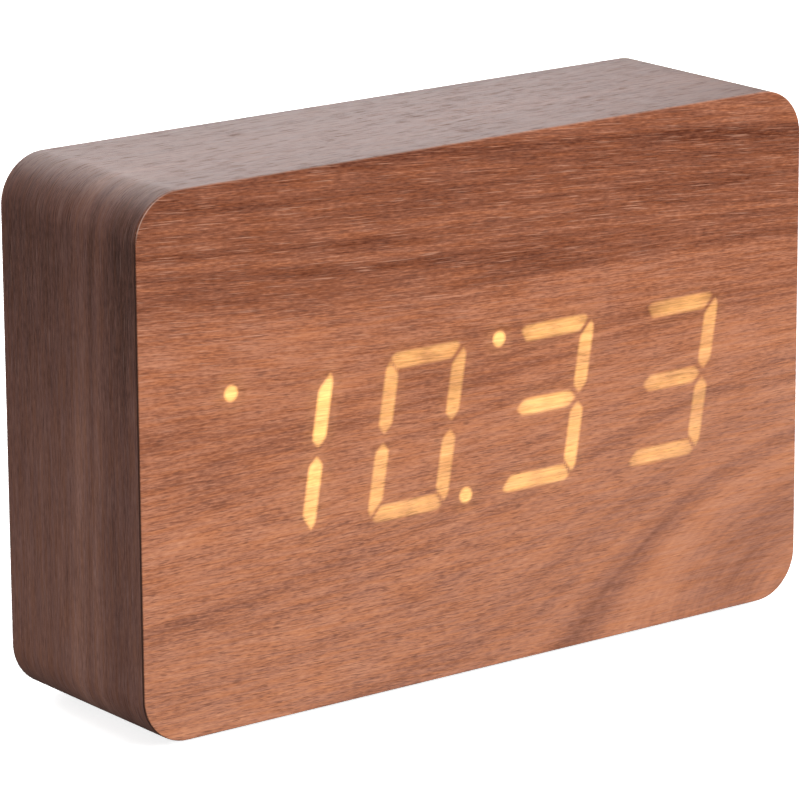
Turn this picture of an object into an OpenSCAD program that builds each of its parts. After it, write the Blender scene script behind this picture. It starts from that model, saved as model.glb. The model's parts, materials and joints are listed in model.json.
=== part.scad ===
// Wooden table alarm clock: a veneered fibreboard case whose display shines through the front sheet.
// Millimetres. +Z is up, the front faces -Y, and the origin is on the table under the middle of the case.

/* [Case] */
// Width of the case across its front
case_w = 150; // [136:1:200]
// Height of the case without its foot pads
case_h = 98.5; // [89:0.5:130]
// Depth of the case from the front sheet to the rear rim
case_d = 42; // [40:0.5:70]
// Radius of the four long edges
corner_r = 9; // [7:0.5:14]
// Thickness of the fibreboard walls
wall_t = 8; // [7:0.5:10]
// Thickness of the fibreboard front
front_board_t = 4; // [3.5:0.5:6]
// Thickness of the walnut veneer
veneer_t = 0.6; // [0.4:0.1:1]
// Radius of the milled corners of the cavity
cavity_r = 3; // [1.5:0.5:5]
// Width of the bosses in the corners of the cavity
boss_w = 11; // [9:0.5:12]

/* [Foot pads] */
// Diameter of a foot pad
foot_d = 9; // [6:0.5:12]
// Thickness of a foot pad
foot_t = 1; // [0.6:0.1:3]
// Distance from the side of the case to the middle of a pad
foot_inset_x = 20; // [16:1:40]
// Distance from the front or back of the case to the middle of a pad
foot_inset_y = 9; // [8:0.5:12]

/* [Display] */
// Height of a digit
digit_h = 30.5; // [24:0.5:34]
// Width of a digit as a share of the distance between neighbouring digits
digit_share = 0.608; // [0.52:0.002:0.63]
// Lean of the digits from upright, in degrees
digit_lean = 9.5; // [0:0.5:12]
// Width of a segment's stroke
segment_t = 3; // [2.4:0.1:3.6]
// Gap that parts neighbouring segments
segment_gap = 0.6; // [0.4:0.1:1]
// Bevel on the outer corners of a digit
digit_bevel = 0.9; // [0.4:0.1:1.4]
// Diameter of the colon and indicator dots
dot_d = 3.1; // [2.4:0.1:3.6]
// Distance from the side of a digit to the middle of its dot
dot_offset = 4.2; // [3.6:0.1:5]
// How far the digits sit below the middle of the case
display_drop = 2; // [0:0.5:5]
// Border of the reflector round the digits
reflector_border = 4; // [3:0.5:5]
// Gap between the reflector and the side of the cavity
display_gap = 5.55; // [4:0.05:8]
// Depth of the reflector
reflector_d = 10; // [8:0.5:12]
// Gap between the reflector and its window
window_gap = 0.3; // [0.15:0.05:0.6]
// Thickness of the reflector's screw lugs
lug_t = 2.5; // [2:0.1:4]

/* [Circuit boards] */
// Thickness of a circuit board
board_t = 1.6; // [1:0.2:2]
// Gap between the control board and the bosses beside it
control_gap = 2.4; // [1.6:0.1:4]
// Height of the control board
control_h = 20; // [17:0.5:23]
// Share of the cavity's free height that lies over the control board
drop_share = 0.24; // [0.16:0.01:0.4]
// Distance from the rear cover to the control board
standoff_h = 8; // [7.5:0.5:10]
// Diameter of the bosses that carry the control board
standoff_d = 5.6; // [5:0.2:6.4]
// Width of the ribbon cable
ribbon_w = 12.7; // [7:0.5:16]
// Thickness of the ribbon cable
ribbon_t = 0.9; // [0.6:0.1:1.2]
// Inner radius of the bends in the ribbon cable
ribbon_r = 3; // [2:0.5:4]

/* [Rear cover] */
// How far the cover lies below the rear rim
rear_recess = 1.5; // [1.4:0.1:4]
// Thickness of the cover's plate
cover_t = 2.2; // [2:0.1:3]
// Width of the ledge that carries the cover
ledge_w = 3; // [2:0.5:4]
// Gap round the edge of the cover
cover_gap = 0.25; // [0.1:0.05:0.5]
// Thickness of the cover's stiffening ribs
rib_t = 1.4; // [1:0.1:2]
// Height of the cover's stiffening ribs
rib_h = 4; // [2:0.5:6]

/* [Battery bay] */
// Diameter of a cell
cell_d = 10.5; // [9:0.1:11]
// Length of a cell with its cap
cell_l = 44.5; // [40:0.5:50]
// Number of cells
cell_count = 4; // [2:2:4]
// Gap round each cell
cell_gap = 0.4; // [0.2:0.1:0.6]
// Thickness of the bay's walls
bay_wall = 2.4; // [2:0.1:3]
// Thickness of the bay's floor
bay_floor = 1.6; // [1.2:0.1:2.4]
// Share of the cavity's free height that lies under the bay
lift_share = 0.24; // [0.16:0.01:0.36]
// Thickness of the contact plates
contact_t = 0.4; // [0.3:0.1:0.6]
// Width of a contact plate at one cell
contact_w = 8; // [6:0.5:9]
// Length of a contact spring under its cell
spring_l = 4.5; // [4:0.5:7]
// Diameter of the spring wire
spring_wire = 0.5; // [0.4:0.1:0.6]
// Turns in a contact spring
spring_turns = 3.5; // [2.5:0.5:4]
// Thickness of the battery door
door_t = 2; // [1.6:0.1:2.2]
// How far the door laps over the bay's walls
door_lap = 1.4; // [1:0.1:1.6]
// Gap round the door
door_gap = 0.3; // [0.2:0.05:0.5]
// Width of a door tab
tab_w = 8; // [5:0.5:12]
// Thickness of a door tab
tab_t = 1.4; // [1:0.1:1.6]
// How far a door tab reaches behind the cover
tab_reach = 1.3; // [0.8:0.1:1.5]
// Width of the door's latch tongue
tongue_w = 16; // [12:1:24]
// Length of the door's latch tongue
tongue_l = 12; // [8:1:16]

/* [Controls] */
// Width of a key
key_w = 10; // [7:0.5:11]
// Height of a key
key_h = 5; // [4:0.5:7]
// Corner radius of a key
key_r = 1.5; // [0.5:0.1:2]
// How far a key stands out of the cover
key_proud = 1.1; // [0.8:0.1:1.2]
// How far a key presses in
key_travel = 0.5; // [0.2:0.1:0.6]
// Gap round a key
key_gap = 0.2; // [0.1:0.05:0.4]
// Width of the flange that keeps a key in
flange_w = 1.2; // [0.8:0.1:1.6]
// Thickness of that flange
flange_t = 1; // [0.8:0.1:1.4]
// Travel of the alarm slider
slider_travel = 2; // [1.5:0.5:3]
// Length of the alarm slider's thumb piece
slider_l = 5; // [4:0.5:6]
// Height of the alarm slider's thumb piece
slider_h = 3.4; // [2.8:0.2:5]
// Radius of the power socket's bore
jack_bore_r = 1.85; // [1.5:0.05:2.2]
// Radius of the power socket's centre pin
jack_pin_r = 0.65; // [0.5:0.05:0.8]

/* [Hidden] */
$fn = 64;

// Small clearances
cut = 0.5;            // how far a cutter runs past the face it opens
fit_gap = 0.05;       // a screw in its hole, a lens in its well
slide_gap = 0.15;     // a moving piece beside its guide
seat_gap = 0.1;       // a door on its ledge, a loose piece on its rest

// Levels from front to back
front_y = -case_d / 2;
back_y = case_d / 2;
face_y = front_y + veneer_t;
board_back_y = face_y + front_board_t;
reflector_back_y = face_y + reflector_d;
display_back_y = reflector_back_y + board_t;
cover_out_y = back_y - rear_recess;
ledge_y = cover_out_y - cover_t;
control_face_y = ledge_y - standoff_h;
control_front_y = control_face_y - board_t;

// Case
case_z = foot_t + case_h / 2;
core_w = case_w - 2 * veneer_t;
core_h = case_h - 2 * veneer_t;
core_r = corner_r - veneer_t;
cavity_w = core_w - 2 * wall_t;
cavity_h = core_h - 2 * wall_t;
opening_w = cavity_w + 2 * ledge_w;
opening_h = cavity_h + 2 * ledge_w;
opening_r = cavity_r + ledge_w;
boss_round = 3;
rib_end_gap = 2;      // from the end of a cover's rib to the wall of the cavity
cavity_top_z = case_z + cavity_h / 2;
cavity_floor_z = case_z - cavity_h / 2;

// Screws: head diameter, head height, shank diameter, length under the head
rear_screw = [5.6, 1.8, 2.6, 14];
screw_skin = 1.2;     // wood left in front of a display screw
display_screw = [4.4, 1.5, 1.8, lug_t + front_board_t - screw_skin];
standoff_bite = 6;    // length of a control screw inside its standoff
control_screw = [4, 1.4, 2, board_t + standoff_bite];
hole_gap = 0.3;       // a screw in the piece that it passes through
pilot_spare = 0.3;    // free depth under a screw's tip
counterbore_t = 1;    // depth of the seat for a rear screw's head
rear_screw_x = cavity_w / 2 - boss_w / 2;
rear_screw_z = cavity_h / 2 - boss_w / 2;

// Display
lean = tan(digit_lean);
display_z = case_z - display_drop;
tip_back = 0.2;       // the uprights' tips stand this much further apart than the other segments
dot_rise = digit_h / 2 - segment_t / 2;
side_reach = max(digit_h / 2 * lean, dot_offset + dot_d / 2 - dot_rise * lean);
reflector_w = cavity_w - 2 * display_gap;
reflector_h = digit_h + 2 * reflector_border;
digit_pitch = (reflector_w / 2 - side_reach - reflector_border) / (1.5 + digit_share / 2);
digit_w = digit_share * digit_pitch;
digit_x = [for (i = [-1.5:1:1.5]) i * digit_pitch];
// Dots: the digit that carries one, and whether it is up on the left (-1) or down on the right (1)
dots = [[0, -1], [1, 1], [2, -1]];
led_size = [2, 1.2, 0.8];
led_spread = 3.2;     // from a segment's middle to each of its two chips
lens_lift = 0.7;      // free height over a chip
peg_r = 1.5;
peg_head_r = 2.4;
peg_head_h = 1;
lug_w = 10;
lug_h = 8;
lug_inset = 14;
lug_x = reflector_w / 2 - lug_inset;

// Control board under the top of the cavity, and the battery bay over its floor
cell_pitch = cell_d + cell_gap;
bay_h = cell_count * cell_pitch + cell_gap;
free_h = cavity_h - control_h - bay_h - 2 * bay_wall;
control_z = cavity_top_z - drop_share * free_h - control_h / 2;
bay_z = cavity_floor_z + lift_share * free_h + bay_wall + bay_h / 2;
control_l = cavity_w - 2 * (boss_w + control_gap);
board_edge = 0.6;     // from a standoff to the edge of the board
board_round = 1;
control_screw_x = control_l / 2 - standoff_d / 2 - board_edge;
control_screw_z = control_h / 2 - standoff_d / 2 - board_edge;
// Places along the board, as seen from the front, from shares of its length
key_x = [for (share = [-0.34, -0.2, -0.06]) share * control_l];
switch_x = 0.1 * control_l;
buzzer_x = 0.255 * control_l;
jack_x = 0.38 * control_l;
ribbon_x = 0.075 * control_l;
chip_x = -0.17 * control_l;
crystal_x = -0.03 * control_l;
capacitor_x = 0.34 * control_l;

// Parts on the control board
tact_size = [6, 6];
tact_h = 3.5;
plunger_r = 1.7;
plunger_top = 5;      // height of a plunger's tip over the board
plunger_in = 1.2;     // length of a plunger inside its housing
post_r = 1.6;
switch_size = [9, 4.4];
switch_h = 5;
stem_w = 2;
stem_h = 1.8;
stem_in = 2;          // length of the slider's stem inside the switch
slider_t = 1;
slider_round = 0.6;
slot_gap = 0.3;
buzzer_r = 6;
buzzer_h = 6.6;
sound_hole_r = 0.8;
sound_ring_r = 3.2;
jack_size = [8.6, 8];
jack_nose_r = 2.9;
jack_nose_gap = 0.2;
jack_sink = 0.3;      // the nose ends this far below the cover's face
jack_bore_l = 8;
jack_pin_sink = 1.5;
chip_size = [18, 7.4];
chip_h = 2.3;
chip_lift = 0.3;
lead_count = 14;
lead_pitch = 1.27;
crystal_r = 1;
crystal_l = 6;
capacitor_r = 3.15;
capacitor_h = 7;

// Battery bay
bump_h = 0.6;
bump_r = 1.5;
cap_r = 1.9;
cap_h = 0.9;
bay_l = cell_l + spring_l + bump_h + 2 * contact_t + seat_gap;
door_seat_y = cover_out_y - door_t - seat_gap;
cell_y = door_seat_y - cell_gap - cell_d / 2;
bay_floor_y = cell_y - cell_d / 2 - cell_gap;
bay_back_y = bay_floor_y - bay_floor;
cradle_h = 2;
cradle_w = 1.6;
spring_foot_r = 3.2;
spring_tip_r = 1.7;
contact_edge = 0.75;  // from a contact plate to the side of its cell
contact_h = cell_d - 2 * contact_edge;
terminal_w = 3;
terminal_l = 2.5;     // how far a terminal stands out of the bay's floor
lead_r = 0.6;
lead_bend_r = 2;
lead_gap = 0.3;
lead_edge = 3;        // from a lead's end to the edge of the control board
function cell_z(i) = bay_z - bay_h / 2 + cell_gap + cell_d / 2 + i * cell_pitch;
// A cell's cap points to +X on even places and to -X on odd ones
function cell_side(i) = i % 2 == 0 ? 1 : -1;
// First and last cell of each contact plate
last_cell = cell_count - 1;
right_plates = concat([[0, 0]], [for (i = [1:2:last_cell - 2]) [i, i + 1]], [[last_cell, last_cell]]);
left_plates = [for (i = [0:2:last_cell - 1]) [i, i + 1]];

// Battery door
door_w = bay_l + 2 * (door_lap - door_gap);
hinge_y = cover_out_y - door_t / 2;
hinge_z = bay_z - bay_h / 2 - door_lap + door_gap + door_t / 2;
door_top_z = bay_z + bay_h / 2 + door_lap - door_gap;
door_round = 1.5;
tab_inset = 9;
tab_x = bay_l / 2 - tab_inset;
tab_drop = door_t / 2 + door_gap + tab_reach;
tab_sweep = norm([hinge_y - door_seat_y + tab_t, tab_drop]) + seat_gap;
tab_neck = 1.2;
slit_w = 0.8;
nib_h = door_gap - fit_gap;
scoop_r = 14;
scoop_t = 1.1;
grip_count = 3;
grip_pitch = 2;
grip_t = 0.4;

// Shared shapes

// A rectangle with round corners, about the middle
module rounded_rect(w, h, r) {
    square([w - 2 * r, h], center = true);
    square([w, h - 2 * r], center = true);
    for (x = [-1, 1], z = [-1, 1])
        translate([x * (w / 2 - r), z * (h / 2 - r)]) circle(r);
}

// Extrudes an outline that is drawn in X and Z, from y0 back to y1
module from_to(y0, y1) {
    translate([0, y1, 0]) rotate([90, 0, 0]) linear_extrude(y1 - y0) children();
}

// A box from its lowest to its highest corner
module block(low, high) {
    translate(low) cube(high - low);
}

// A cylinder along Y from y0 back to y1
module rod(x, z, r, y0, y1) {
    translate([x, y1, z]) rotate([90, 0, 0]) cylinder(r = r, h = y1 - y0);
}

// Copies at the four corners of a rectangle in X and Z
module at_corners(x, z, middle_z) {
    for (sx = [-1, 1], sz = [-1, 1])
        translate([sx * x, 0, middle_z + sz * z]) children();
}

// A pan-head screw with a cross recess: the head stands on Z = 0 and the shank points down
module screw(size) {
    head_r = size[0] / 2;
    head_h = size[1];
    shank_r = size[2] / 2;
    tip_l = size[2] / 2;
    recess = [size[0] * 0.6, size[0] * 0.14, head_h * 0.5];
    difference() {
        union() {
            rotate_extrude()
                polygon([[0, 0], [head_r, 0], [head_r, head_h * 0.45], [head_r * 0.7, head_h], [0, head_h]]);
            rotate_extrude()
                polygon([[0, 0], [shank_r, 0], [shank_r, tip_l - size[3]], [0, -size[3]]]);
        }
        for (turn = [0, 90])
            rotate(turn) translate([0, 0, head_h])
                cube([recess[0], recess[1], 2 * recess[2]], center = true);
    }
}

// Case

module case_frame() {
    color("peru") difference() {
        from_to(board_back_y, back_y - veneer_t)
            translate([0, case_z]) rounded_rect(core_w, core_h, core_r);
        from_to(board_back_y - cut, back_y) translate([0, case_z]) difference() {
            rounded_rect(cavity_w, cavity_h, cavity_r);
            for (x = [-1, 1], z = [-1, 1])
                translate([x * cavity_w / 2, z * cavity_h / 2])
                    rounded_rect(2 * boss_w, 2 * boss_w, boss_round);
        }
        from_to(ledge_y, back_y) translate([0, case_z]) rounded_rect(opening_w, opening_h, opening_r);
        at_corners(rear_screw_x, rear_screw_z, case_z)
            rod(0, 0, rear_screw[2] / 2 + fit_gap,
                cover_out_y - counterbore_t - rear_screw[3] - pilot_spare, ledge_y + cut);
    }
}

module front_board() {
    color("peru") difference() {
        from_to(face_y, board_back_y) translate([0, case_z]) rounded_rect(core_w, core_h, core_r);
        from_to(face_y - cut, board_back_y + cut) translate([0, display_z])
            square([reflector_w + 2 * window_gap, reflector_h + 2 * window_gap], center = true);
        at_corners(lug_x, reflector_h / 2 + lug_h / 2, display_z)
            rod(0, 0, display_screw[2] / 2 + fit_gap,
                board_back_y + lug_t - display_screw[3] - pilot_spare, board_back_y + cut);
    }
}

module front_veneer() {
    color("sienna") from_to(front_y, face_y)
        translate([0, case_z]) rounded_rect(case_w, case_h, corner_r);
}

module wrap_veneer() {
    color("saddlebrown") from_to(face_y, back_y - veneer_t) translate([0, case_z]) difference() {
        rounded_rect(case_w, case_h, corner_r);
        rounded_rect(core_w, core_h, core_r);
    }
}

module rear_veneer() {
    color("saddlebrown") from_to(back_y - veneer_t, back_y) translate([0, case_z]) difference() {
        rounded_rect(case_w, case_h, corner_r);
        rounded_rect(opening_w, opening_h, opening_r);
    }
}

module foot_pads() {
    bevel = foot_t * 0.3;
    color("dimgray") for (x = [-1, 1], y = [-1, 1])
        translate([x * (case_w / 2 - foot_inset_x), y * (case_d / 2 - foot_inset_y), 0]) rotate_extrude()
            polygon([[0, 0], [foot_d / 2 - bevel, 0], [foot_d / 2, bevel],
                     [foot_d / 2, foot_t], [0, foot_t]]);
}

// Display

// Leans the points of a digit's outline
function leaned(points) = [for (p = points) [p[0] + p[1] * lean, p[1]]];

// Outlines of the seven segments about a digit's middle, drawn in by gap: the bars, then the uprights
function bar(side, gap) = let (
    out_z = side * (digit_h / 2 - gap),
    in_z = side * (digit_h / 2 - segment_t + gap),
    out_x = digit_w / 2 - digit_bevel - segment_gap - gap,
    in_x = digit_w / 2 - segment_t - segment_gap / 2 - gap
) [[-out_x, out_z], [out_x, out_z], [in_x, in_z], [-in_x, in_z]];
function middle_bar(gap) = let (
    half = segment_t / 2 - gap,
    tip = digit_w / 2 - segment_t / 2 - segment_gap - gap
) [[tip, 0], [tip - half, half], [half - tip, half], [-tip, 0], [half - tip, -half], [tip - half, -half]];
function upright(x_side, z_side, gap) = let (
    out_x = x_side * (digit_w / 2 - gap),
    in_x = x_side * (digit_w / 2 - segment_t + gap),
    tip = segment_gap + tip_back + gap,
    shoulder = tip + segment_t / 2 - gap
) [[out_x, z_side * (digit_h / 2 - digit_bevel - segment_gap / 2 - gap)],
   [out_x, z_side * shoulder],
   [(out_x + in_x) / 2, z_side * tip],
   [in_x, z_side * shoulder],
   [in_x, z_side * (digit_h / 2 - segment_t - segment_gap - gap)]];
function segments(gap) = concat([bar(1, gap), bar(-1, gap), middle_bar(gap)],
    [for (x = [-1, 1], z = [-1, 1]) upright(x, z, gap)]);

// Middle of each segment in the same order, and whether it stands upright
function segment_middles() = let (
    bar_z = digit_h / 2 - segment_t / 2,
    post_x = digit_w / 2 - segment_t / 2
) concat([[0, bar_z, 0], [0, -bar_z, 0], [0, 0, 0]],
    [for (x = [-1, 1], z = [-1, 1]) [x * post_x, z * digit_h / 4, 1]]);

function dot_place(dot) = let (z = -dot[1] * dot_rise)
    [digit_x[dot[0]] + dot[1] * (digit_w / 2 + dot_offset) + z * lean, display_z + z];

module digit_segments(i, gap) {
    translate([digit_x[i], display_z]) for (outline = segments(gap)) polygon(leaned(outline));
}

module display_reflector() {
    color("white") difference() {
        union() {
            from_to(face_y, reflector_back_y) translate([0, display_z])
                square([reflector_w, reflector_h], center = true);
            at_corners(lug_x, reflector_h / 2 + lug_h / 2, display_z)
                block([-lug_w / 2, board_back_y, -lug_h / 2 - cut],
                      [lug_w / 2, board_back_y + lug_t, lug_h / 2]);
            for (i = [-1:1]) {
                rod(i * digit_pitch, display_z, peg_r, reflector_back_y - cut, display_back_y + peg_head_h);
                rod(i * digit_pitch, display_z, peg_head_r, display_back_y, display_back_y + peg_head_h);
            }
        }
        for (i = [0:3])
            from_to(face_y - cut, reflector_back_y + cut) digit_segments(i, 0);
        for (dot = dots)
            rod(dot_place(dot)[0], dot_place(dot)[1], dot_d / 2, face_y - cut, reflector_back_y + cut);
        at_corners(lug_x, reflector_h / 2 + lug_h / 2, display_z)
            rod(0, 0, display_screw[2] / 2 + hole_gap, board_back_y - cut, board_back_y + lug_t + cut);
    }
}

lens_back_y = reflector_back_y - led_size[2] - lens_lift;

module digit_lenses(i) {
    color("orange") from_to(face_y, lens_back_y) digit_segments(i, fit_gap);
}

module dot_lenses() {
    color("orange") for (dot = dots)
        rod(dot_place(dot)[0], dot_place(dot)[1], dot_d / 2 - fit_gap, face_y, lens_back_y);
}

// One chip with its long side along X
module led(x, z) {
    translate([x, reflector_back_y - led_size[2] / 2, z])
        cube([led_size[0], led_size[2], led_size[1]], center = true);
}

module segment_leds() {
    color("lightyellow") {
        for (i = [0:3], m = segment_middles(), side = [-1, 1]) {
            x = m[0] + (1 - m[2]) * side * led_spread;
            z = m[1] + m[2] * side * led_spread;
            led(digit_x[i] + x + z * lean, display_z + z);
        }
        for (dot = dots)
            led(dot_place(dot)[0], dot_place(dot)[1]);
    }
}

module display_board() {
    color("darkgreen") difference() {
        from_to(reflector_back_y, display_back_y) translate([0, display_z])
            square([reflector_w, reflector_h], center = true);
        for (i = [-1:1])
            rod(i * digit_pitch, display_z, peg_r + fit_gap, reflector_back_y - cut, display_back_y + cut);
    }
}

module display_screws() {
    color("silver") at_corners(lug_x, reflector_h / 2 + lug_h / 2, display_z)
        translate([0, board_back_y + lug_t, 0]) rotate([-90, 0, 0]) screw(display_screw);
}

// Electronics

module control_board() {
    color("darkgreen") difference() {
        from_to(control_front_y, control_face_y) translate([0, control_z])
            rounded_rect(control_l, control_h, board_round);
        at_corners(control_screw_x, control_screw_z, control_z)
            rod(0, 0, control_screw[2] / 2 + hole_gap, control_front_y - cut, control_face_y + cut);
    }
}

module controller_chip() {
    top_y = control_front_y - chip_lift - chip_h;
    foot_l = 1;
    lead_w = 0.45;
    lead_h = 0.25;
    color("black") translate([chip_x, 0, control_z]) {
        block([-chip_size[0] / 2, top_y, -chip_size[1] / 2],
              [chip_size[0] / 2, control_front_y - chip_lift, chip_size[1] / 2]);
        for (i = [0:lead_count - 1], side = [-1, 1])
            translate([(i - (lead_count - 1) / 2) * lead_pitch - lead_w / 2, 0, 0])
                mirror([0, 0, side < 0 ? 1 : 0]) {
                    block([0, top_y + chip_h / 2, chip_size[1] / 2 - lead_h],
                          [lead_w, top_y + chip_h / 2 + lead_h, chip_size[1] / 2 + foot_l]);
                    block([0, top_y + chip_h / 2, chip_size[1] / 2 + foot_l - lead_h],
                          [lead_w, control_front_y, chip_size[1] / 2 + foot_l]);
                }
    }
}

module clock_crystal() {
    color("silver") translate([crystal_x, control_front_y - crystal_r - seat_gap, control_z - crystal_l / 2])
        cylinder(r = crystal_r, h = crystal_l);
}

module smoothing_capacitor() {
    bead = 0.4;
    color("midnightblue") translate([capacitor_x, control_front_y, control_z]) rotate([90, 0, 0])
        rotate_extrude() polygon([[0, 0], [capacitor_r, 0], [capacitor_r, capacitor_h - bead],
                                  [capacitor_r - bead, capacitor_h], [0, capacitor_h]]);
}

module buzzer() {
    rim = 0.6;
    port_r = 1.2;
    port_t = 2;
    color("black") translate([buzzer_x, control_face_y, control_z]) rotate([-90, 0, 0])
        rotate_extrude() polygon([[0, 0], [buzzer_r, 0], [buzzer_r, buzzer_h - rim],
                                  [buzzer_r - rim, buzzer_h], [port_r, buzzer_h],
                                  [port_r, buzzer_h - port_t], [0, buzzer_h - port_t]]);
}

jack_end_y = cover_out_y - jack_sink;

module power_jack() {
    color("black") difference() {
        union() {
            block([jack_x - jack_size[0] / 2, control_face_y, control_z - jack_size[1] / 2],
                  [jack_x + jack_size[0] / 2, ledge_y - seat_gap, control_z + jack_size[1] / 2]);
            rod(jack_x, control_z, jack_nose_r, ledge_y - seat_gap - cut, jack_end_y);
        }
        rod(jack_x, control_z, jack_bore_r, jack_end_y - jack_bore_l, jack_end_y + cut);
    }
}

module jack_pin() {
    bevel = jack_pin_r / 2;
    length = jack_bore_l - jack_pin_sink;
    color("silver") translate([jack_x, jack_end_y - jack_bore_l, control_z]) rotate([-90, 0, 0])
        rotate_extrude() polygon([[0, 0], [jack_pin_r, 0], [jack_pin_r, length - bevel],
                                  [jack_pin_r - bevel, length], [0, length]]);
}

module tact_switches() {
    bore_l = plunger_in + key_travel + pilot_spare;
    top_y = control_face_y + tact_h;
    color("dimgray") for (x = key_x) difference() {
        block([x - tact_size[0] / 2, control_face_y, control_z - tact_size[1] / 2],
              [x + tact_size[0] / 2, top_y, control_z + tact_size[1] / 2]);
        rod(x, control_z, plunger_r + fit_gap, top_y - bore_l, top_y + cut);
    }
}

module alarm_switch_body() {
    slot_l = stem_w + slider_travel + 2 * slot_gap;
    slot_h = stem_h + 2 * slot_gap;
    color("silver") translate([switch_x, 0, control_z]) difference() {
        block([-switch_size[0] / 2, control_face_y, -switch_size[1] / 2],
              [switch_size[0] / 2, control_face_y + switch_h, switch_size[1] / 2]);
        block([-slot_l / 2, control_face_y + switch_h - stem_in - seat_gap, -slot_h / 2],
              [slot_l / 2, control_face_y + switch_h + cut, slot_h / 2]);
    }
}

// A flat cable that leaves the display board, climbs between the boards and meets the control board
module ribbon_cable() {
    start_z = display_z + reflector_h / 4;
    end_z = control_z - control_h / 4;
    gap_y = control_front_y - display_back_y;
    outer_r = ribbon_r + ribbon_t;
    run = gap_y / 2 - ribbon_r - ribbon_t / 2;
    // Quarter bend about the origin, in the given quadrant of Y and Z
    module bend(y_side, z_side) {
        intersection() {
            difference() {
                circle(outer_r);
                circle(ribbon_r);
            }
            translate([y_side < 0 ? -outer_r : 0, z_side < 0 ? -outer_r : 0]) square(outer_r);
        }
    }
    color("lightgray") translate([ribbon_x - ribbon_w / 2, 0, 0])
        rotate([90, 0, 90]) linear_extrude(ribbon_w) {
            translate([display_back_y, start_z - ribbon_t]) square([run, ribbon_t]);
            translate([display_back_y + run, start_z + ribbon_r]) bend(1, -1);
            translate([display_back_y + run + ribbon_r, start_z + ribbon_r])
                square([ribbon_t, end_z - start_z - 2 * ribbon_r]);
            translate([display_back_y + run + 2 * ribbon_r + ribbon_t, end_z - ribbon_r]) bend(-1, 1);
            translate([control_front_y - run, end_z]) square([run, ribbon_t]);
        }
}

module control_screws() {
    color("silver") at_corners(control_screw_x, control_screw_z, control_z)
        translate([0, control_front_y, 0]) rotate([90, 0, 0]) screw(control_screw);
}

// Rear cover

// The thumb scoop over the latch tongue, which the door and the cover share
module thumb_scoop() {
    translate([0, cover_out_y + scoop_r - scoop_t, door_top_z]) sphere(scoop_r);
}

// A rectangle about the middle of the bay, larger than its inside by margin on each side
module bay_outline(margin) {
    translate([0, bay_z]) square([bay_l + 2 * margin, bay_h + 2 * margin], center = true);
}

// Slots in which the door's tabs swing
module tab_slots() {
    slot_w = tab_w + 2 * slide_gap;
    slot_bottom_z = bay_z - bay_h / 2 - bay_wall - cut;
    lap_z = bay_z - bay_h / 2 - door_lap;
    for (x = [-1, 1]) translate([x * tab_x, 0, 0]) {
        block([-slot_w / 2, hinge_y - tab_sweep, slot_bottom_z],
              [slot_w / 2, cover_out_y - door_t, lap_z + cut]);
        block([-slot_w / 2, hinge_y - tab_sweep, lap_z],
              [slot_w / 2, cover_out_y, bay_z - bay_h / 2 + cut]);
    }
}

module rear_cover() {
    rib_start_x = bay_l / 2 + bay_wall + cover_gap;
    rib_end_x = cavity_w / 2 - rib_end_gap;
    color("#1c1c1e") difference() {
        union() {
            from_to(ledge_y, cover_out_y) translate([0, case_z])
                rounded_rect(opening_w - 2 * cover_gap, opening_h - 2 * cover_gap, opening_r - cover_gap);
            at_corners(control_screw_x, control_screw_z, control_z)
                rod(0, 0, standoff_d / 2, control_face_y, ledge_y + cut);
            for (side = [0, 1], z = [-1, 1])
                mirror([side, 0, 0])
                    block([rib_start_x, ledge_y - rib_h, bay_z + z * bay_h / 4 - rib_t / 2],
                          [rib_end_x, ledge_y + cut, bay_z + z * bay_h / 4 + rib_t / 2]);
        }
        // Opening for the battery door and its tabs
        from_to(ledge_y - cut, cover_out_y + cut) bay_outline(door_lap);
        tab_slots();
        thumb_scoop();
        // Screws at the corners and in the standoffs
        at_corners(rear_screw_x, rear_screw_z, case_z) {
            rod(0, 0, rear_screw[2] / 2 + hole_gap, ledge_y - cut, cover_out_y + cut);
            rod(0, 0, rear_screw[0] / 2 + hole_gap, cover_out_y - counterbore_t, cover_out_y + cut);
        }
        at_corners(control_screw_x, control_screw_z, control_z)
            rod(0, 0, control_screw[2] / 2 + fit_gap, control_face_y - cut,
                control_front_y + control_screw[3] + pilot_spare);
        // Keys, slider, power socket and sound holes
        for (x = key_x)
            from_to(ledge_y - cut, cover_out_y + cut) translate([x, control_z])
                rounded_rect(key_w + 2 * key_gap, key_h + 2 * key_gap, key_r + key_gap);
        from_to(ledge_y - cut, cover_out_y + cut) translate([switch_x, control_z])
            square([stem_w + slider_travel + 2 * slot_gap, stem_h + 2 * slot_gap], center = true);
        rod(jack_x, control_z, jack_nose_r + jack_nose_gap, ledge_y - cut, cover_out_y + cut);
        rod(buzzer_x, control_z, sound_hole_r, ledge_y - cut, cover_out_y + cut);
        for (turn = [0:60:300])
            rod(buzzer_x + sound_ring_r * cos(turn), control_z + sound_ring_r * sin(turn), sound_hole_r,
                ledge_y - cut, cover_out_y + cut);
    }
}

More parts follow.
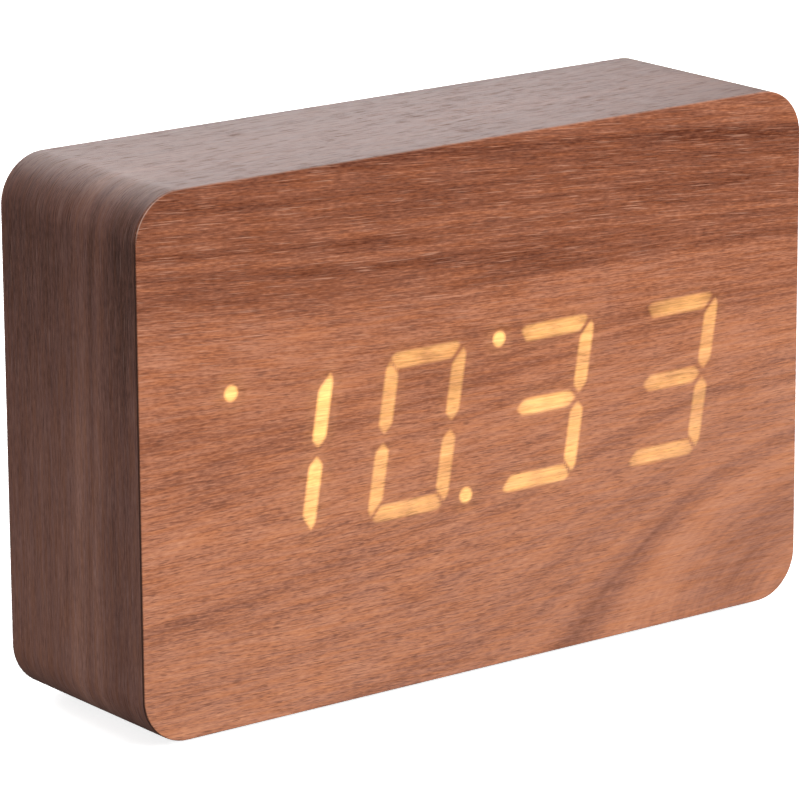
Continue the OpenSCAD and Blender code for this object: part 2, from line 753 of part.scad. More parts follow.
// The battery bay, whose collar sits in the cover's opening and carries the door
module battery_tray() {
    color("#1c1c1e") difference() {
        union() {
            from_to(bay_back_y, ledge_y) bay_outline(bay_wall);
            from_to(ledge_y - cut, max(ledge_y, door_seat_y)) bay_outline(door_lap - fit_gap);
        }
        from_to(bay_floor_y, cover_out_y) bay_outline(0);
        from_to(door_seat_y, cover_out_y) bay_outline(door_lap);
        tab_slots();
        // Slits for the terminals of the first and the last contact
        for (i = [0, last_cell])
            block([bay_l / 2 - contact_t - fit_gap, bay_back_y - cut, cell_z(i) - terminal_w / 2 - fit_gap],
                  [bay_l / 2 + fit_gap, bay_floor_y + cut, cell_z(i) + terminal_w / 2 + fit_gap]);
    }
    // Cradles between the cells
    color("#1c1c1e") for (i = [1:last_cell])
        block([-cell_l / 3, bay_floor_y - cut, cell_z(i) - cell_pitch / 2 - cradle_w / 2],
              [cell_l / 3, bay_floor_y + cradle_h, cell_z(i) - cell_pitch / 2 + cradle_w / 2]);
}

module rear_screws() {
    color("silver") at_corners(rear_screw_x, rear_screw_z, case_z)
        translate([0, cover_out_y - counterbore_t, 0]) rotate([-90, 0, 0]) screw(rear_screw);
}

// The door stands on a round lower edge, about which it tilts open
module battery_door() {
    in_y = cover_out_y - door_t;
    color("#1c1c1e") difference() {
        union() {
            translate([-door_w / 2, hinge_y, hinge_z]) rotate([0, 90, 0]) cylinder(d = door_t, h = door_w);
            from_to(in_y, cover_out_y) {
                translate([-door_w / 2, hinge_z]) square([door_w, door_top_z - hinge_z - door_round]);
                translate([-door_w / 2 + door_round, hinge_z])
                    square([door_w - 2 * door_round, door_top_z - hinge_z]);
                for (x = [-1, 1])
                    translate([x * (door_w / 2 - door_round), door_top_z - door_round]) circle(door_round);
            }
            for (x = [-1, 1]) translate([x * tab_x, 0, 0]) {
                block([-tab_w / 2, door_seat_y - tab_t, hinge_z - tab_drop],
                      [tab_w / 2, door_seat_y, hinge_z + tab_neck]);
                block([-tab_w / 2, door_seat_y - tab_t, hinge_z],
                      [tab_w / 2, in_y + cut, hinge_z + tab_neck]);
            }
            // Nib of the latch, which springs behind the cover's edge
            block([-tongue_w / 4, in_y, door_top_z - cut],
                  [tongue_w / 4, in_y + door_t / 3, door_top_z + nib_h]);
        }
        for (x = [-1, 1])
            block([x * tongue_w / 2 - slit_w / 2, in_y - cut, door_top_z - tongue_l],
                  [x * tongue_w / 2 + slit_w / 2, cover_out_y + cut, door_top_z + cut]);
        thumb_scoop();
        for (i = [0:grip_count - 1])
            translate([0, cover_out_y, door_top_z - tongue_l + grip_pitch * (i + 0.5)])
                cube([tongue_w - 3 * slit_w, 2 * grip_t, grip_pitch / 2], center = true);
    }
}

// Battery bay

module battery_cells() {
    shoulder = 0.5;
    color("gold") for (i = [0:last_cell])
        translate([0, cell_y, cell_z(i)]) rotate([0, 90 * cell_side(i), 0])
            translate([0, 0, contact_t + spring_l - bay_l / 2]) rotate_extrude()
                polygon([[0, 0], [cell_d / 2 - shoulder, 0], [cell_d / 2, shoulder],
                         [cell_d / 2, cell_l - cap_h - shoulder], [cell_d / 2 - shoulder, cell_l - cap_h],
                         [cap_r, cell_l - cap_h], [cap_r, cell_l], [0, cell_l]]);
}

// One contact plate at the given end, over the first to the last of its cells
module contact_plate(side, cells) {
    block_x = side > 0 ? bay_l / 2 - contact_t : -bay_l / 2;
    block([block_x, cell_y - contact_h / 2, cell_z(cells[0]) - contact_w / 2],
          [block_x + contact_t, cell_y + contact_h / 2, cell_z(cells[1]) + contact_w / 2]);
    // A raised bump where a cell's cap bears
    for (i = cells) if (cell_side(i) == side)
        translate([side * (bay_l / 2 - contact_t), cell_y, cell_z(i)]) rotate([0, -90 * side, 0])
            cylinder(r1 = bump_r, r2 = bump_r / 2, h = bump_h);
    // The first and the last plate have a terminal through the bay's floor
    if (cells[0] == cells[1])
        block([block_x, bay_back_y - terminal_l, cell_z(cells[0]) - terminal_w / 2],
              [block_x + contact_t, cell_y, cell_z(cells[0]) + terminal_w / 2]);
}

module battery_contacts() {
    color("silver") {
        for (cells = right_plates) contact_plate(1, cells);
        for (cells = left_plates) contact_plate(-1, cells);
    }
}

// Conical spring along +Z: one wire of six sides, swept along its helix
spring_rings = ceil(8 * spring_turns);
spring_sides = 6;
function spring_angle(i) = 360 * spring_turns * i / spring_rings;
function spring_radius(i) = spring_foot_r + (spring_tip_r - spring_foot_r) * i / spring_rings;
function spring_height(i) = spring_wire / 2 + (spring_l - spring_wire) * i / spring_rings;
function spring_centre(i) =
    [spring_radius(i) * cos(spring_angle(i)), spring_radius(i) * sin(spring_angle(i)), spring_height(i)];
function spring_point(i, k) = let (
    turn = 360 * k / spring_sides,
    r = spring_radius(i) + spring_wire / 2 * cos(turn)
) [r * cos(spring_angle(i)), r * sin(spring_angle(i)), spring_height(i) + spring_wire / 2 * sin(turn)];
spring_self_gap = min([for (i = [0:spring_rings], j = [i + 5:1:spring_rings])
    norm(spring_centre(i) - spring_centre(j))]) - spring_wire;

module contact_spring() {
    n = spring_sides;
    points = [for (i = [0:spring_rings], k = [0:n - 1]) spring_point(i, k)];
    last = spring_rings * n;
    sides = [for (i = [0:spring_rings - 1], k = [0:n - 1], half = [0, 1]) let (
        a = i * n + k,
        b = i * n + (k + 1) % n
    ) half == 0 ? [a, b, b + n] : [a, b + n, a + n]];
    foot = [for (k = [1:n - 2]) [0, k + 1, k]];
    tip = [for (k = [1:n - 2]) [last, last + k, last + k + 1]];
    polyhedron(points, concat(sides, foot, tip));
}

module battery_springs() {
    echo(spring_self_gap = spring_self_gap);
    color("silver") for (i = [0:last_cell])
        translate([cell_side(i) * (contact_t - bay_l / 2), cell_y, cell_z(i)])
            rotate([0, 90 * cell_side(i), 0]) contact_spring();
}

// An insulated wire from a terminal, up behind the bay and into the control board
module battery_lead(x, start_z) {
    run_y = bay_back_y - terminal_l / 2;
    end_z = control_z - control_h / 2 + lead_edge;
    translate([x, run_y, start_z]) cylinder(r = lead_r, h = end_z - lead_bend_r - start_z);
    translate([x, run_y + lead_bend_r, end_z - lead_bend_r]) rotate([0, -90, 0]) rotate([0, 0, -90])
        rotate_extrude(angle = 90) translate([lead_bend_r, 0]) circle(lead_r);
    rod(x, end_z, lead_r, run_y + lead_bend_r, control_front_y);
}

module battery_lead_red() {
    color("red") battery_lead(bay_l / 2 + lead_gap + lead_r, cell_z(0) - terminal_w / 2);
}

module battery_lead_black() {
    color("black")
        battery_lead(bay_l / 2 - contact_t - lead_gap - lead_r, cell_z(last_cell) - terminal_w / 2);
}

// Controls

// A key at rest: cap through the cover, flange behind it and post down to the plunger
module key(x) {
    dish_r = 14;
    dish_t = 0.35;
    flange_y = ledge_y - slide_gap;
    color("#2b2b2e") difference() {
        union() {
            from_to(flange_y - cut, cover_out_y + key_proud) translate([x, control_z])
                rounded_rect(key_w, key_h, key_r);
            from_to(flange_y - flange_t, flange_y) translate([x, control_z])
                rounded_rect(key_w + 2 * flange_w, key_h + 2 * flange_w, key_r);
            rod(x, control_z, post_r, control_face_y + plunger_top, flange_y - flange_t + cut);
        }
        translate([x - key_w, cover_out_y + key_proud + dish_r - dish_t, control_z])
            rotate([0, 90, 0]) cylinder(r = dish_r, h = 2 * key_w);
    }
}

module plunger(x) {
    color("black")
        rod(x, control_z, plunger_r, control_face_y + tact_h - plunger_in, control_face_y + plunger_top);
}

// The slider at rest, at the -X end of its travel
module alarm_slider() {
    ridge_t = 0.3;
    rest_x = switch_x - slider_travel / 2;
    top_y = cover_out_y + slide_gap + slider_t;
    color("#2b2b2e") difference() {
        union() {
            block([rest_x - stem_w / 2, control_face_y + switch_h - stem_in, control_z - stem_h / 2],
                  [rest_x + stem_w / 2, cover_out_y + slide_gap + cut, control_z + stem_h / 2]);
            from_to(cover_out_y + slide_gap, top_y) translate([rest_x, control_z])
                rounded_rect(slider_l, slider_h, slider_round);
        }
        for (i = [-1:1])
            translate([rest_x + i * slider_l / 4, top_y, control_z])
                cube([slider_l / 8, 2 * ridge_t, 2 * slider_h], center = true);
    }
}

case_frame();
front_board();
front_veneer();
wrap_veneer();
rear_veneer();
foot_pads();
display_reflector();
digit_lenses(0);  // digit_1_lenses
digit_lenses(1);  // digit_2_lenses
digit_lenses(2);  // digit_3_lenses
digit_lenses(3);  // digit_4_lenses
dot_lenses();
segment_leds();
display_board();
display_screws();
control_board();
controller_chip();
clock_crystal();
smoothing_capacitor();
buzzer();
power_jack();
jack_pin();
tact_switches();
alarm_switch_body();
ribbon_cable();
control_screws();
rear_cover();
battery_tray();
rear_screws();
battery_door();
battery_cells();
battery_contacts();
battery_springs();
battery_lead_red();
battery_lead_black();
key(key_x[0]);  // set_key
key(key_x[1]);  // down_key
key(key_x[2]);  // up_key
plunger(key_x[0]);  // set_plunger
plunger(key_x[1]);  // down_plunger
plunger(key_x[2]);  // up_plunger
alarm_slider();
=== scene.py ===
"""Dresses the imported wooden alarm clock: the veneers with their figure, the glow of the display through the
front sheet, the moulded back and the stage. Metres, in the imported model's frame: +Z is up, -Y the front."""
import json
import math

import bpy
import numpy as np
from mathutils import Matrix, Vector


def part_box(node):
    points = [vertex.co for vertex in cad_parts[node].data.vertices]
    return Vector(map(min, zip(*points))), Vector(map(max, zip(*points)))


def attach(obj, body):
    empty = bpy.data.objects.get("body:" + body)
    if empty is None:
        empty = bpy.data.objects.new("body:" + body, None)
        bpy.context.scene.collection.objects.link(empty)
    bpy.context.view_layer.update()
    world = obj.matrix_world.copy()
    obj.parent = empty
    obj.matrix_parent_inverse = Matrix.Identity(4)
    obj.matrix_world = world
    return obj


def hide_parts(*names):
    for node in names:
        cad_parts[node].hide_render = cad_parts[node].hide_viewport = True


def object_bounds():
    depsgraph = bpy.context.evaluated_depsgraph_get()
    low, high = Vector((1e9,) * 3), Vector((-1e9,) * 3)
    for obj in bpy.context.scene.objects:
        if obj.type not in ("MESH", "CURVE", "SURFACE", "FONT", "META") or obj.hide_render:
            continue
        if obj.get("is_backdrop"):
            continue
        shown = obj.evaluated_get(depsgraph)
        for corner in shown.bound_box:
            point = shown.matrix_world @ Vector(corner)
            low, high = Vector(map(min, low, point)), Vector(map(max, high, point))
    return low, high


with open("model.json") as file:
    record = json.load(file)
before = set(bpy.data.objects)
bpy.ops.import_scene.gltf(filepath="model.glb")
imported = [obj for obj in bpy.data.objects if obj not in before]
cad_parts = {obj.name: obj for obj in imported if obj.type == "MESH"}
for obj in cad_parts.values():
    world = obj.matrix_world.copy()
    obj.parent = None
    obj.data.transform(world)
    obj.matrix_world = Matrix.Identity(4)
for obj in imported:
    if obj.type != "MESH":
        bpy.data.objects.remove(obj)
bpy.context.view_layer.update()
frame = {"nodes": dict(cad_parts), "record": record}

bl_info = {
    "name": "Wooden Alarm Clock",
    "version": (1, 0, 0),
    "blender": (4, 5, 0),
    "location": "3D View > Sidebar > Clock",
    "description": "Dresses a wooden alarm clock round its packed frame",
    "category": "Add Mesh",
}

MM = 0.001
WHITE, BLACK = (1.0, 1.0, 1.0), (0.0, 0.0, 0.0)


# Settings

def number(description, default, **kind):
    """A plain number, or one of another kind."""
    return bpy.props.FloatProperty(description=description, default=default, **kind)


def length(description, default):
    """A length in metres, from a default in millimetres."""
    return number(description, default * MM, unit="LENGTH", precision=5)


def angle(description, default):
    """An angle in radians, from a default in degrees."""
    return number(description, math.radians(default), subtype="ANGLE")


def power(description, default):
    """A lamp's power in watts."""
    return number(description, default, unit="POWER")


def colour(description, default):
    """A linear colour."""
    return bpy.props.FloatVectorProperty(description=description, default=default, subtype="COLOR", size=3,
                                         min=0.0, max=1.0)


def named(group):
    """Names each property of a group after itself."""
    for key, made in group.__annotations__.items():
        made.keywords["name"] = key.replace("_", " ").capitalize()
    return group


@named
class ClockCaseSettings(bpy.types.PropertyGroup):
    """Sizes of the veneered case"""
    corner_radius: length("Radius of the four long edges of the case", 9)
    opening_radius: length("Corner radius of the opening in the back", 6)
    opening_rim: length("Width of the veneered rim round the back", 5.6)
    edge_radius: length("Rounding of the cut edges of the veneer", 0.2)
    fine_step: length("Mesh spacing of the front sheet over the display", 0.45)
    coarse_step: length("Mesh spacing of the front sheet elsewhere", 0.6)


@named
class ClockFigureSettings(bpy.types.PropertyGroup):
    """Course of the grain on the front sheet"""
    knot_x: length("Middle of the knot to the right of the front's middle", 84)
    knot_z: length("Middle of the knot above the front's middle", -70)
    knot_radius: length("Height of the knot round which the grain flows", 52)
    knot_softness: length("Distance over which the knot's middle is smoothed", 20)
    knot_stretch: number("Width of the knot over its height", 1.3)
    tilt: number("Fall of the upper grain to the right, as a slope", 0.17)
    lift: number("Rise of the lower grain at the right, as a slope", 0.12)


@named
class ClockDisplaySettings(bpy.types.PropertyGroup):
    """What the display shows, and the sizes of its digits"""
    hour: bpy.props.IntProperty(description="Hour shown", default=10, min=0, max=23)
    minute: bpy.props.IntProperty(description="Minute shown", default=33, min=0, max=59)
    digit_width: length("Width of a digit across its upright segments", 18)
    digit_height: length("Height of a digit", 30.5)
    stroke: length("Width of a segment", 3)
    segment_gap: length("Gap between neighbouring segments", 0.6)
    bevel: length("Bevel on the outer corners of a digit", 0.8)
    lean: angle("Lean of the digits", 9.5)
    dot_diameter: length("Diameter of the dots", 3.1)
    dot_offset: length("Distance from a digit's side to its dot", 4.2)
    glow_colour: colour("Colour of the light through the wood", (1.0, 0.55, 0.16))
    glow_strength: number("Brightness of the light through the wood", 1.0, min=0.0)


@named
class ClockWoodSettings(bpy.types.PropertyGroup):
    """Colours of the walnut"""
    upper_dark: colour("Darkest streaks of the front's upper zone", (0.078, 0.022, 0.0115))
    upper_brown: colour("Ground colour of the front's upper zone", (0.196, 0.070, 0.0385))
    upper_orange: colour("Pale streaks of the front's upper zone", (0.340, 0.137, 0.077))
    upper_tan: colour("Palest streaks of the front's upper zone", (0.47, 0.212, 0.122))
    lower_dark: colour("Darkest streaks of the front's lower zone", (0.120, 0.049, 0.0325))
    lower_brown: colour("Dark bands of the front's lower zone", (0.240, 0.105, 0.0695))
    lower_orange: colour("Ground colour of the front's lower zone", (0.345, 0.149, 0.0885))
    lower_tan: colour("Palest bands of the front's lower zone", (0.45, 0.208, 0.120))
    wrap_dark: colour("Darkest streaks of the wrapped veneer", (0.043, 0.0193, 0.0145))
    wrap_brown: colour("Dark ground of the wrapped veneer", (0.117, 0.0555, 0.0448))
    wrap_orange: colour("Pale ground of the wrapped veneer", (0.173, 0.0865, 0.0685))
    wrap_tan: colour("Palest streaks of the wrapped veneer", (0.265, 0.144, 0.116))
    # Pale colour laid along the upper arris of the front: a painted highlight
    arris: colour("Worn upper arris of the front", (0.38, 0.25, 0.20))


@named
class ClockKeySettings(bpy.types.PropertyGroup):
    """Sizes of a key"""
    cap_width: length("Width of a key's cap", 10)
    cap_height: length("Height of a key's cap", 5)
    cap_radius: length("Corner radius of a key's cap", 1.5)
    cap_rise: length("Height of the cap's rim over its collar", 3.325)
    collar: length("Thickness of the collar that keeps the key in", 1)
    post_radius: length("Radius of the post behind the key", 1.6)
    edge_radius: length("Rounding of the cap's edge", 0.35)
    dish_radius: length("Radius of the dish in the cap", 14)
    mark_reach: length("Distance of a mark's corners from its middle", 1)
    mark_round: length("Corner radius of a mark", 0.3)
    mark_rise: length("Height of a mark over the dish", 0.2)


@named
class ClockStageSettings(bpy.types.PropertyGroup):
    """Camera and light of the picture"""
    azimuth: angle("Camera's turn to the right of the front", -37.157)
    elevation: angle("Camera's height over the horizon", 14.997)
    roll: angle("Camera's roll", -0.368)
    distance: length("Camera's distance from the middle of the case", 925.326)
    aim_x: length("How far the clock's middle lies right of the picture's middle", 2.461)
    aim_y: length("How far the clock's middle lies over the picture's middle", 3.743)
    aim_height: length("Height of the clock's middle over the floor", 51)
    lens: number("Focal length on a 36 mm sensor", 227.378, subtype="DISTANCE_CAMERA")
    sky: number("Brightness of the room over the clock", 0.20, min=0.0)
    table: number("Brightness of what lies below the clock", 0.06, min=0.0)
    key_power: power("Power of the lamp in front", 65.0)
    top_power: power("Power of the lamp overhead", 6.0)
    back_power: power("Power of the lamp behind that gives the top its sheen", 13.4)
    rear_power: power("Power of the low lamp that lights the back", 30.0)
    fill_power: power("Power of the low lamp at the left", 14.0)


SETTINGS = {
    "clock_case": ClockCaseSettings,
    "clock_figure": ClockFigureSettings,
    "clock_display": ClockDisplaySettings,
    "clock_wood": ClockWoodSettings,
    "clock_keys": ClockKeySettings,
    "clock_stage": ClockStageSettings,
}


# Surfaces

# Faces that meet at a larger angle than this keep a sharp edge between them
CREASE = math.radians(40.0)


def smoothstep(low, high, value):
    """0 below low, 1 above high and a smooth S between them."""
    t = np.clip((value - low) / (high - low), 0.0, 1.0)
    return t * t * (3.0 - 2.0 * t)


def spaced(stops, steps):
    """Numbers from the first stop to the last one, with a chosen spacing between each pair of stops."""
    parts = [np.linspace(a, b, max(2, math.ceil((b - a) / step) + 1))[:-1]
             for a, b, step in zip(stops, stops[1:], steps)]
    return np.concatenate(parts + [np.array([stops[-1]])])


def seen_box(node):
    """Half the width and height of a node's box, its middle as (x, z), and its lowest and highest y."""
    lo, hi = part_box(node)
    return (hi.x - lo.x) / 2, (hi.z - lo.z) / 2, ((lo.x + hi.x) / 2, (lo.z + hi.z) / 2), (lo.y, hi.y)


def band_quads(rows, cols, closed=False):
    """Quads between the rows of a grid whose columns close on themselves; closed also joins the last row to
    the first. Rows that go from front to back on the outside of a shape give faces that point outwards."""
    i = np.arange(rows if closed else rows - 1)[:, None]
    j = np.arange(cols)[None, :]
    i2, j2 = (i + 1) % rows, (j + 1) % cols
    corners = (i * cols + j, i2 * cols + j, i2 * cols + j2, i * cols + j2)
    return np.stack(np.broadcast_arrays(*corners), -1).reshape(-1, 4)


def capped_faces(rows, cols):
    """Faces of a closed form: the band between its rings, and its first and last ring as caps."""
    index = np.arange(rows * cols).reshape(rows, cols)
    return [*band_quads(rows, cols).tolist(), index[0].tolist(), index[-1, ::-1].tolist()]


def rings(half_w, half_h, radius, level, middle, corner_steps):
    """Outlines of rounded rectangles, one for each entry of the size lists, as rows of points: each corner is
    an arc about its own middle, counted anticlockwise from the base's right end as seen from the front."""
    half_w, half_h, radius, level = (np.asarray(v, float)[:, None] for v in (half_w, half_h, radius, level))
    turn = np.radians(np.linspace(0.0, 90.0, corner_steps + 1))
    turn = np.concatenate([turn + np.radians(start) for start in (270.0, 0.0, 90.0, 180.0)])[None, :]
    side = np.repeat([[1.0, -1.0], [1.0, 1.0], [-1.0, 1.0], [-1.0, -1.0]], corner_steps + 1, axis=0)
    x = middle[0] + side[:, 0] * (half_w - radius) + radius * np.cos(turn)
    z = middle[1] + side[:, 1] * (half_h - radius) + radius * np.sin(turn)
    return np.stack([x, np.broadcast_to(level, x.shape), z], -1)


def perimeter(ring):
    """Distance along a closed ring at each of its points, and once more at its first one."""
    step = np.linalg.norm(np.roll(ring, -1, axis=0) - ring, axis=1)
    return np.concatenate([[0.0], np.cumsum(step)])


def quarter_round(radius, steps=4):
    """How far a rounded edge has come out and gone back, from the flat face to the wall: the sine of the turn
    and one less its cosine, times the radius."""
    turn = np.linspace(0.0, math.pi / 2, steps + 1)
    return radius * np.sin(turn), radius * (1.0 - np.cos(turn))


def add_piece(name, points, faces, material, body, replaced, point_values=None, corner_values=None):
    """Makes a mesh object of the points and faces, smooth up to the crease angle and with named values on its
    points or face corners, hangs it under the empty of its body and hides the parts that it replaces."""
    mesh = bpy.data.meshes.new(name)
    mesh.from_pydata(points.reshape(-1, 3), [], faces)
    for domain, values in (("POINT", point_values), ("CORNER", corner_values)):
        for key, value in (values or {}).items():
            value = np.asarray(value, np.float32)
            kind, field = ("FLOAT", "value") if value.ndim == 1 else ("FLOAT_VECTOR", "vector")
            mesh.attributes.new(key, kind, domain).data.foreach_set(field, value.ravel())
    mesh.polygons.foreach_set("use_smooth", np.ones(len(mesh.polygons), bool))
    mesh.set_sharp_from_angle(angle=CREASE)
    mesh.materials.append(material)
    mesh.validate()
    piece = bpy.data.objects.new(name, mesh)
    bpy.context.scene.collection.objects.link(piece)
    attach(piece, body)
    if replaced:
        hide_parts(*replaced)


# Figure of the front sheet, in millimetres from its middle

# Streaks: place and width across the grain, and how much paler the wood is there at its left and right edge
STREAKS = (
    (103.5, 2.0, 0.06, 0.18), (100.0, 2.0, -0.10, -0.24), (93.0, 8.0, -0.07, -0.03), (87.0, 1.4, 0.11, 0.05),
    (84.8, 0.9, -0.09, 0.00), (82.6, 1.1, 0.11, 0.10), (77.2, 1.6, -0.09, 0.04), (74.6, 1.3, 0.08, -0.22),
    (68.0, 2.0, 0.06, -0.02), (62.5, 1.5, 0.05, -0.04), (55.0, 1.5, -0.12, -0.16), (50.0, 1.3, -0.05, -0.07),
    (44.5, 3.2, 0.06, 0.02), (34.5, 1.6, -0.14, -0.02), (30.5, 1.6, 0.00, -0.15), (27.0, 1.8, 0.10, -0.05),
    (23.8, 1.3, -0.05, -0.08), (22.0, 1.8, 0.00, 0.05), (18.8, 2.0, 0.13, -0.06), (14.8, 1.7, 0.00, -0.15),
    (12.0, 2.6, -0.18, 0.00), (8.5, 1.7, -0.18, 0.10), (4.0, 2.6, -0.20, -0.25), (-4.8, 3.8, -0.05, 0.17),
    (-17.5, 6.0, -0.11, -0.11), (-27.5, 6.5, -0.17, -0.17), (80.2, 1.1, -0.08, -0.08),
    (65.0, 6.0, -0.05, -0.11), (59.3, 1.3, -0.10, -0.14),
)
# Share of a streak that comes and goes along the grain, its length, and its turn from streak to streak
STREAK_SWELL, SWELL_LENGTH, SWELL_TURN = 0.25, 24.0, 1.7
# Tone of the ground, and what the darker upper zone adds to it
GROUND_TONE, UPPER_DEPTH = 0.58, -0.25
# Border of the upper zone across the grain, how much softer it is at the left, and over which way
UPPER_ZONE, UPPER_SPREAD, SPREAD_RUN = (70.5, 77.5), 6.0, (40.0, -75.0)
# Heights over which the upper grain begins to tilt and the lower grain to rise, and where that rise starts
TILT_HEIGHTS, LIFT_HEIGHTS, LIFT_START = (-25.0, 35.0), (20.0, -20.0), 35.0
# Slope of the fibres low down, what it gains high up, and the heights between
FIBRE_FALL, FALL_HEIGHTS = (0.025, 0.055), (-10.0, 30.0)
# Size and lengths of the fibres' wave, and the share of the figure that they follow
FIBRE_WAVE, WAVE_X, WAVE_Z, FIBRE_YIELD = 0.5, 27.0, 9.0, 0.03
# Where the upper zone's shades come in across the grain
ORANGE_ZONE = (10.0, 70.0)
# Least share of the painted glints, the heights over which they become many, and the slope of that border
GLINT_LEAST, GLINT_HEIGHTS, GLINT_SLOPE = 0.25, (0.0, 30.0), 0.1
# Strength of the fine grain low down, what it loses high up, and the heights between
FINE_LOW, FINE_LOSS, FINE_HEIGHTS = 1.2, 0.35, (-35.0, 15.0)
# What the fine grain loses round the knot, and the places and heights between
KNOT_LOSS, KNOT_RUN, KNOT_HEIGHTS = 0.65, (-20.0, 60.0), (0.0, -40.0)


def grain_course(x, z, look):
    """Millimetres along and across the grain at points of the front. Across the grain is the stream function
    of a flow past a round knot, with a smoothed middle: height over the knot's middle, times one less the
    squared knot radius over the squared distance; a slope that grows with height tilts the upper grain, and
    another one lifts the arcs at the lower right. Along the grain is the matching potential of that flow."""
    radius, softness = look.knot_radius / MM, look.knot_softness / MM
    over_x, over_z = (x - look.knot_x / MM) / look.knot_stretch, z - look.knot_z / MM
    pull = radius ** 2 / (over_x ** 2 + over_z ** 2 + softness ** 2)
    tilt = look.tilt * smoothstep(*TILT_HEIGHTS, z) * x
    lift = look.lift * smoothstep(*LIFT_HEIGHTS, z) * np.clip(x - LIFT_START, 0.0, None)
    return look.knot_stretch * over_x * (1.0 + pull), over_z * (1.0 - pull) + tilt - lift


def streak_tone(x, along, across, half_w):
    """Paleness of the wood: a ground tone, a darker upper zone whose border is softer at the left, and for
    each streak a bell curve across the grain, whose depth goes evenly from its left to its right amount and
    swells slowly along the grain."""
    spread = UPPER_SPREAD * smoothstep(*SPREAD_RUN, x)
    tone = GROUND_TONE + UPPER_DEPTH * smoothstep(UPPER_ZONE[0] - spread, UPPER_ZONE[1] + spread, across)
    side = np.clip(x / half_w / 2 + 0.5, 0.0, 1.0)
    for index, (place, width, left, right) in enumerate(STREAKS):
        swell = 1.0 + STREAK_SWELL * np.sin(along / SWELL_LENGTH + SWELL_TURN * index)
        tone = tone + (left + (right - left) * side) * swell * np.exp(-((across - place) / width) ** 2)
    return tone


def fibre_course(x, z, across):
    """Millimetres along and across the fibres, which run level over the whole sheet: they fall a little to
    the right, more so in its upper part, wave slowly and give way slightly to the figure."""
    fall = FIBRE_FALL[0] + FIBRE_FALL[1] * smoothstep(*FALL_HEIGHTS, z)
    return x, z + fall * x + FIBRE_WAVE * np.sin(x / WAVE_X + z / WAVE_Z) + FIBRE_YIELD * across


def figure_values(x, z, half_w, look):
    """The courses, the tone and the zones of the wood at points of the front."""
    along, across = grain_course(x, z, look)
    flat = np.zeros_like(along)
    high, knot = smoothstep(*FINE_HEIGHTS, z), smoothstep(*KNOT_RUN, x) * smoothstep(*KNOT_HEIGHTS, z)
    return {
        "figure": np.stack([along, across, flat], -1),
        "fibres": np.stack([*fibre_course(x, z, across), flat], -1),
        "tone": streak_tone(x, along, across, half_w),
        "orange_share": smoothstep(*ORANGE_ZONE, across),
        "flecks": GLINT_LEAST + (1.0 - GLINT_LEAST) * smoothstep(*GLINT_HEIGHTS, z - GLINT_SLOPE * x),
        "fineness": FINE_LOW - FINE_LOSS * high - KNOT_LOSS * knot,
    }


# Light of the display

# Segments that each numeral lights: top, bottom, middle, low left, up left, low right, up right, from 0 on
NUMERALS = ((0, 1, 3, 4, 5, 6), (5, 6), (0, 1, 2, 3, 6), (0, 1, 2, 5, 6), (2, 4, 5, 6), (0, 1, 2, 4, 5),
            (0, 1, 2, 3, 4, 5), (0, 5, 6), (0, 1, 2, 3, 4, 5, 6), (0, 1, 2, 4, 5, 6))
TOP_SEGMENT, FIRST_UPRIGHT = 0, 3
# Brightness of each digit and of the dots
DIGIT_POWER, DOT_POWER = (1.06, 0.57, 0.72, 0.52), 1.15
# How much narrower a dot's light is than its lens, at each side
DOT_INSET = 0.12 * MM
# Where the light of each digit comes through, aside of and over its lens
DIGIT_DRIFT = ((-0.4 * MM, 0.0), (-0.4 * MM, 0.0), (-0.5 * MM, 0.35 * MM), (-0.35 * MM, 0.0))
# How far a top segment's light lies aside of its digit's
TOP_DRIFT = -0.4 * MM
# The dot of each numbered digit: to its left and up, or to its right and down
DOTS = ((0, -1), (1, 1), (2, -1))
# Brightness of a segment, what its two chips add, and how much clouds change it
SEGMENT_LIGHT, CHIP_LIGHT, CLOUD_LIGHT = 0.70, 0.36, 0.16
# Distance of the chips from a segment's middle, and the reach of their light
CHIP_PLACE, CHIP_REACH = 3.2 * MM, 3.4 * MM
# Width and height of the clouds, and their turns from segment to segment
CLOUD_X, CLOUD_Z, TURN_X, TURN_Z = 2.7 * MM, 3.4 * MM, 1.7, 0.9
# Room beside the gap at an upright segment's tip, and the rounding of the light's corners
TIP_ROOM, LIGHT_ROUND = 0.2 * MM, 0.18 * MM
# Room at an upright segment's outer end: at its side in bevels, at its bevel and inner corner in gaps
SIDE_ROOM, BEVEL_ROOM, INNER_ROOM = 3, 2.2, 1.6
# Largest power of e that is worked out for the light
LARGEST_POWER = 60.0


def segment_outlines(shown):
    """Corners of a digit's seven segments about its middle, in the order of NUMERALS. The ends are cut so
    that neighbours keep their gap, the outer corners are bevelled, and each point leans with its height."""
    w, h, t = shown.digit_width / 2, shown.digit_height / 2, shown.stroke
    gap, bevel = shown.segment_gap, shown.bevel
    end_x, in_x = w - 2 * gap, w - t + gap / 2
    tip_x, tip_z = w - t / 2 - gap, gap + TIP_ROOM
    outlines = [[(bevel - end_x, s * h), (end_x - bevel, s * h), (end_x, s * (h - bevel)),
                 (in_x, s * (h - t)), (-in_x, s * (h - t)), (-end_x, s * (h - bevel))] for s in (1, -1)]
    outlines.append([(tip_x, 0), (tip_x - t / 2, t / 2), (t / 2 - tip_x, t / 2), (-tip_x, 0),
                     (t / 2 - tip_x, -t / 2), (tip_x - t / 2, -t / 2)])
    for sx, sz in ((-1, -1), (-1, 1), (1, -1), (1, 1)):
        outlines.append([(sx * w, sz * (h - SIDE_ROOM * bevel)), (sx * w, sz * (tip_z + t / 2)),
                         (sx * (w - t / 2), sz * tip_z), (sx * (w - t), sz * (tip_z + t / 2)),
                         (sx * (w - t), sz * (h - t - INNER_ROOM * gap)),
                         (sx * (w - bevel), sz * (h - BEVEL_ROOM * gap))])
    shear = math.tan(shown.lean)
    return [np.array([(x + z * shear, z) for x, z in outline]) for outline in outlines]


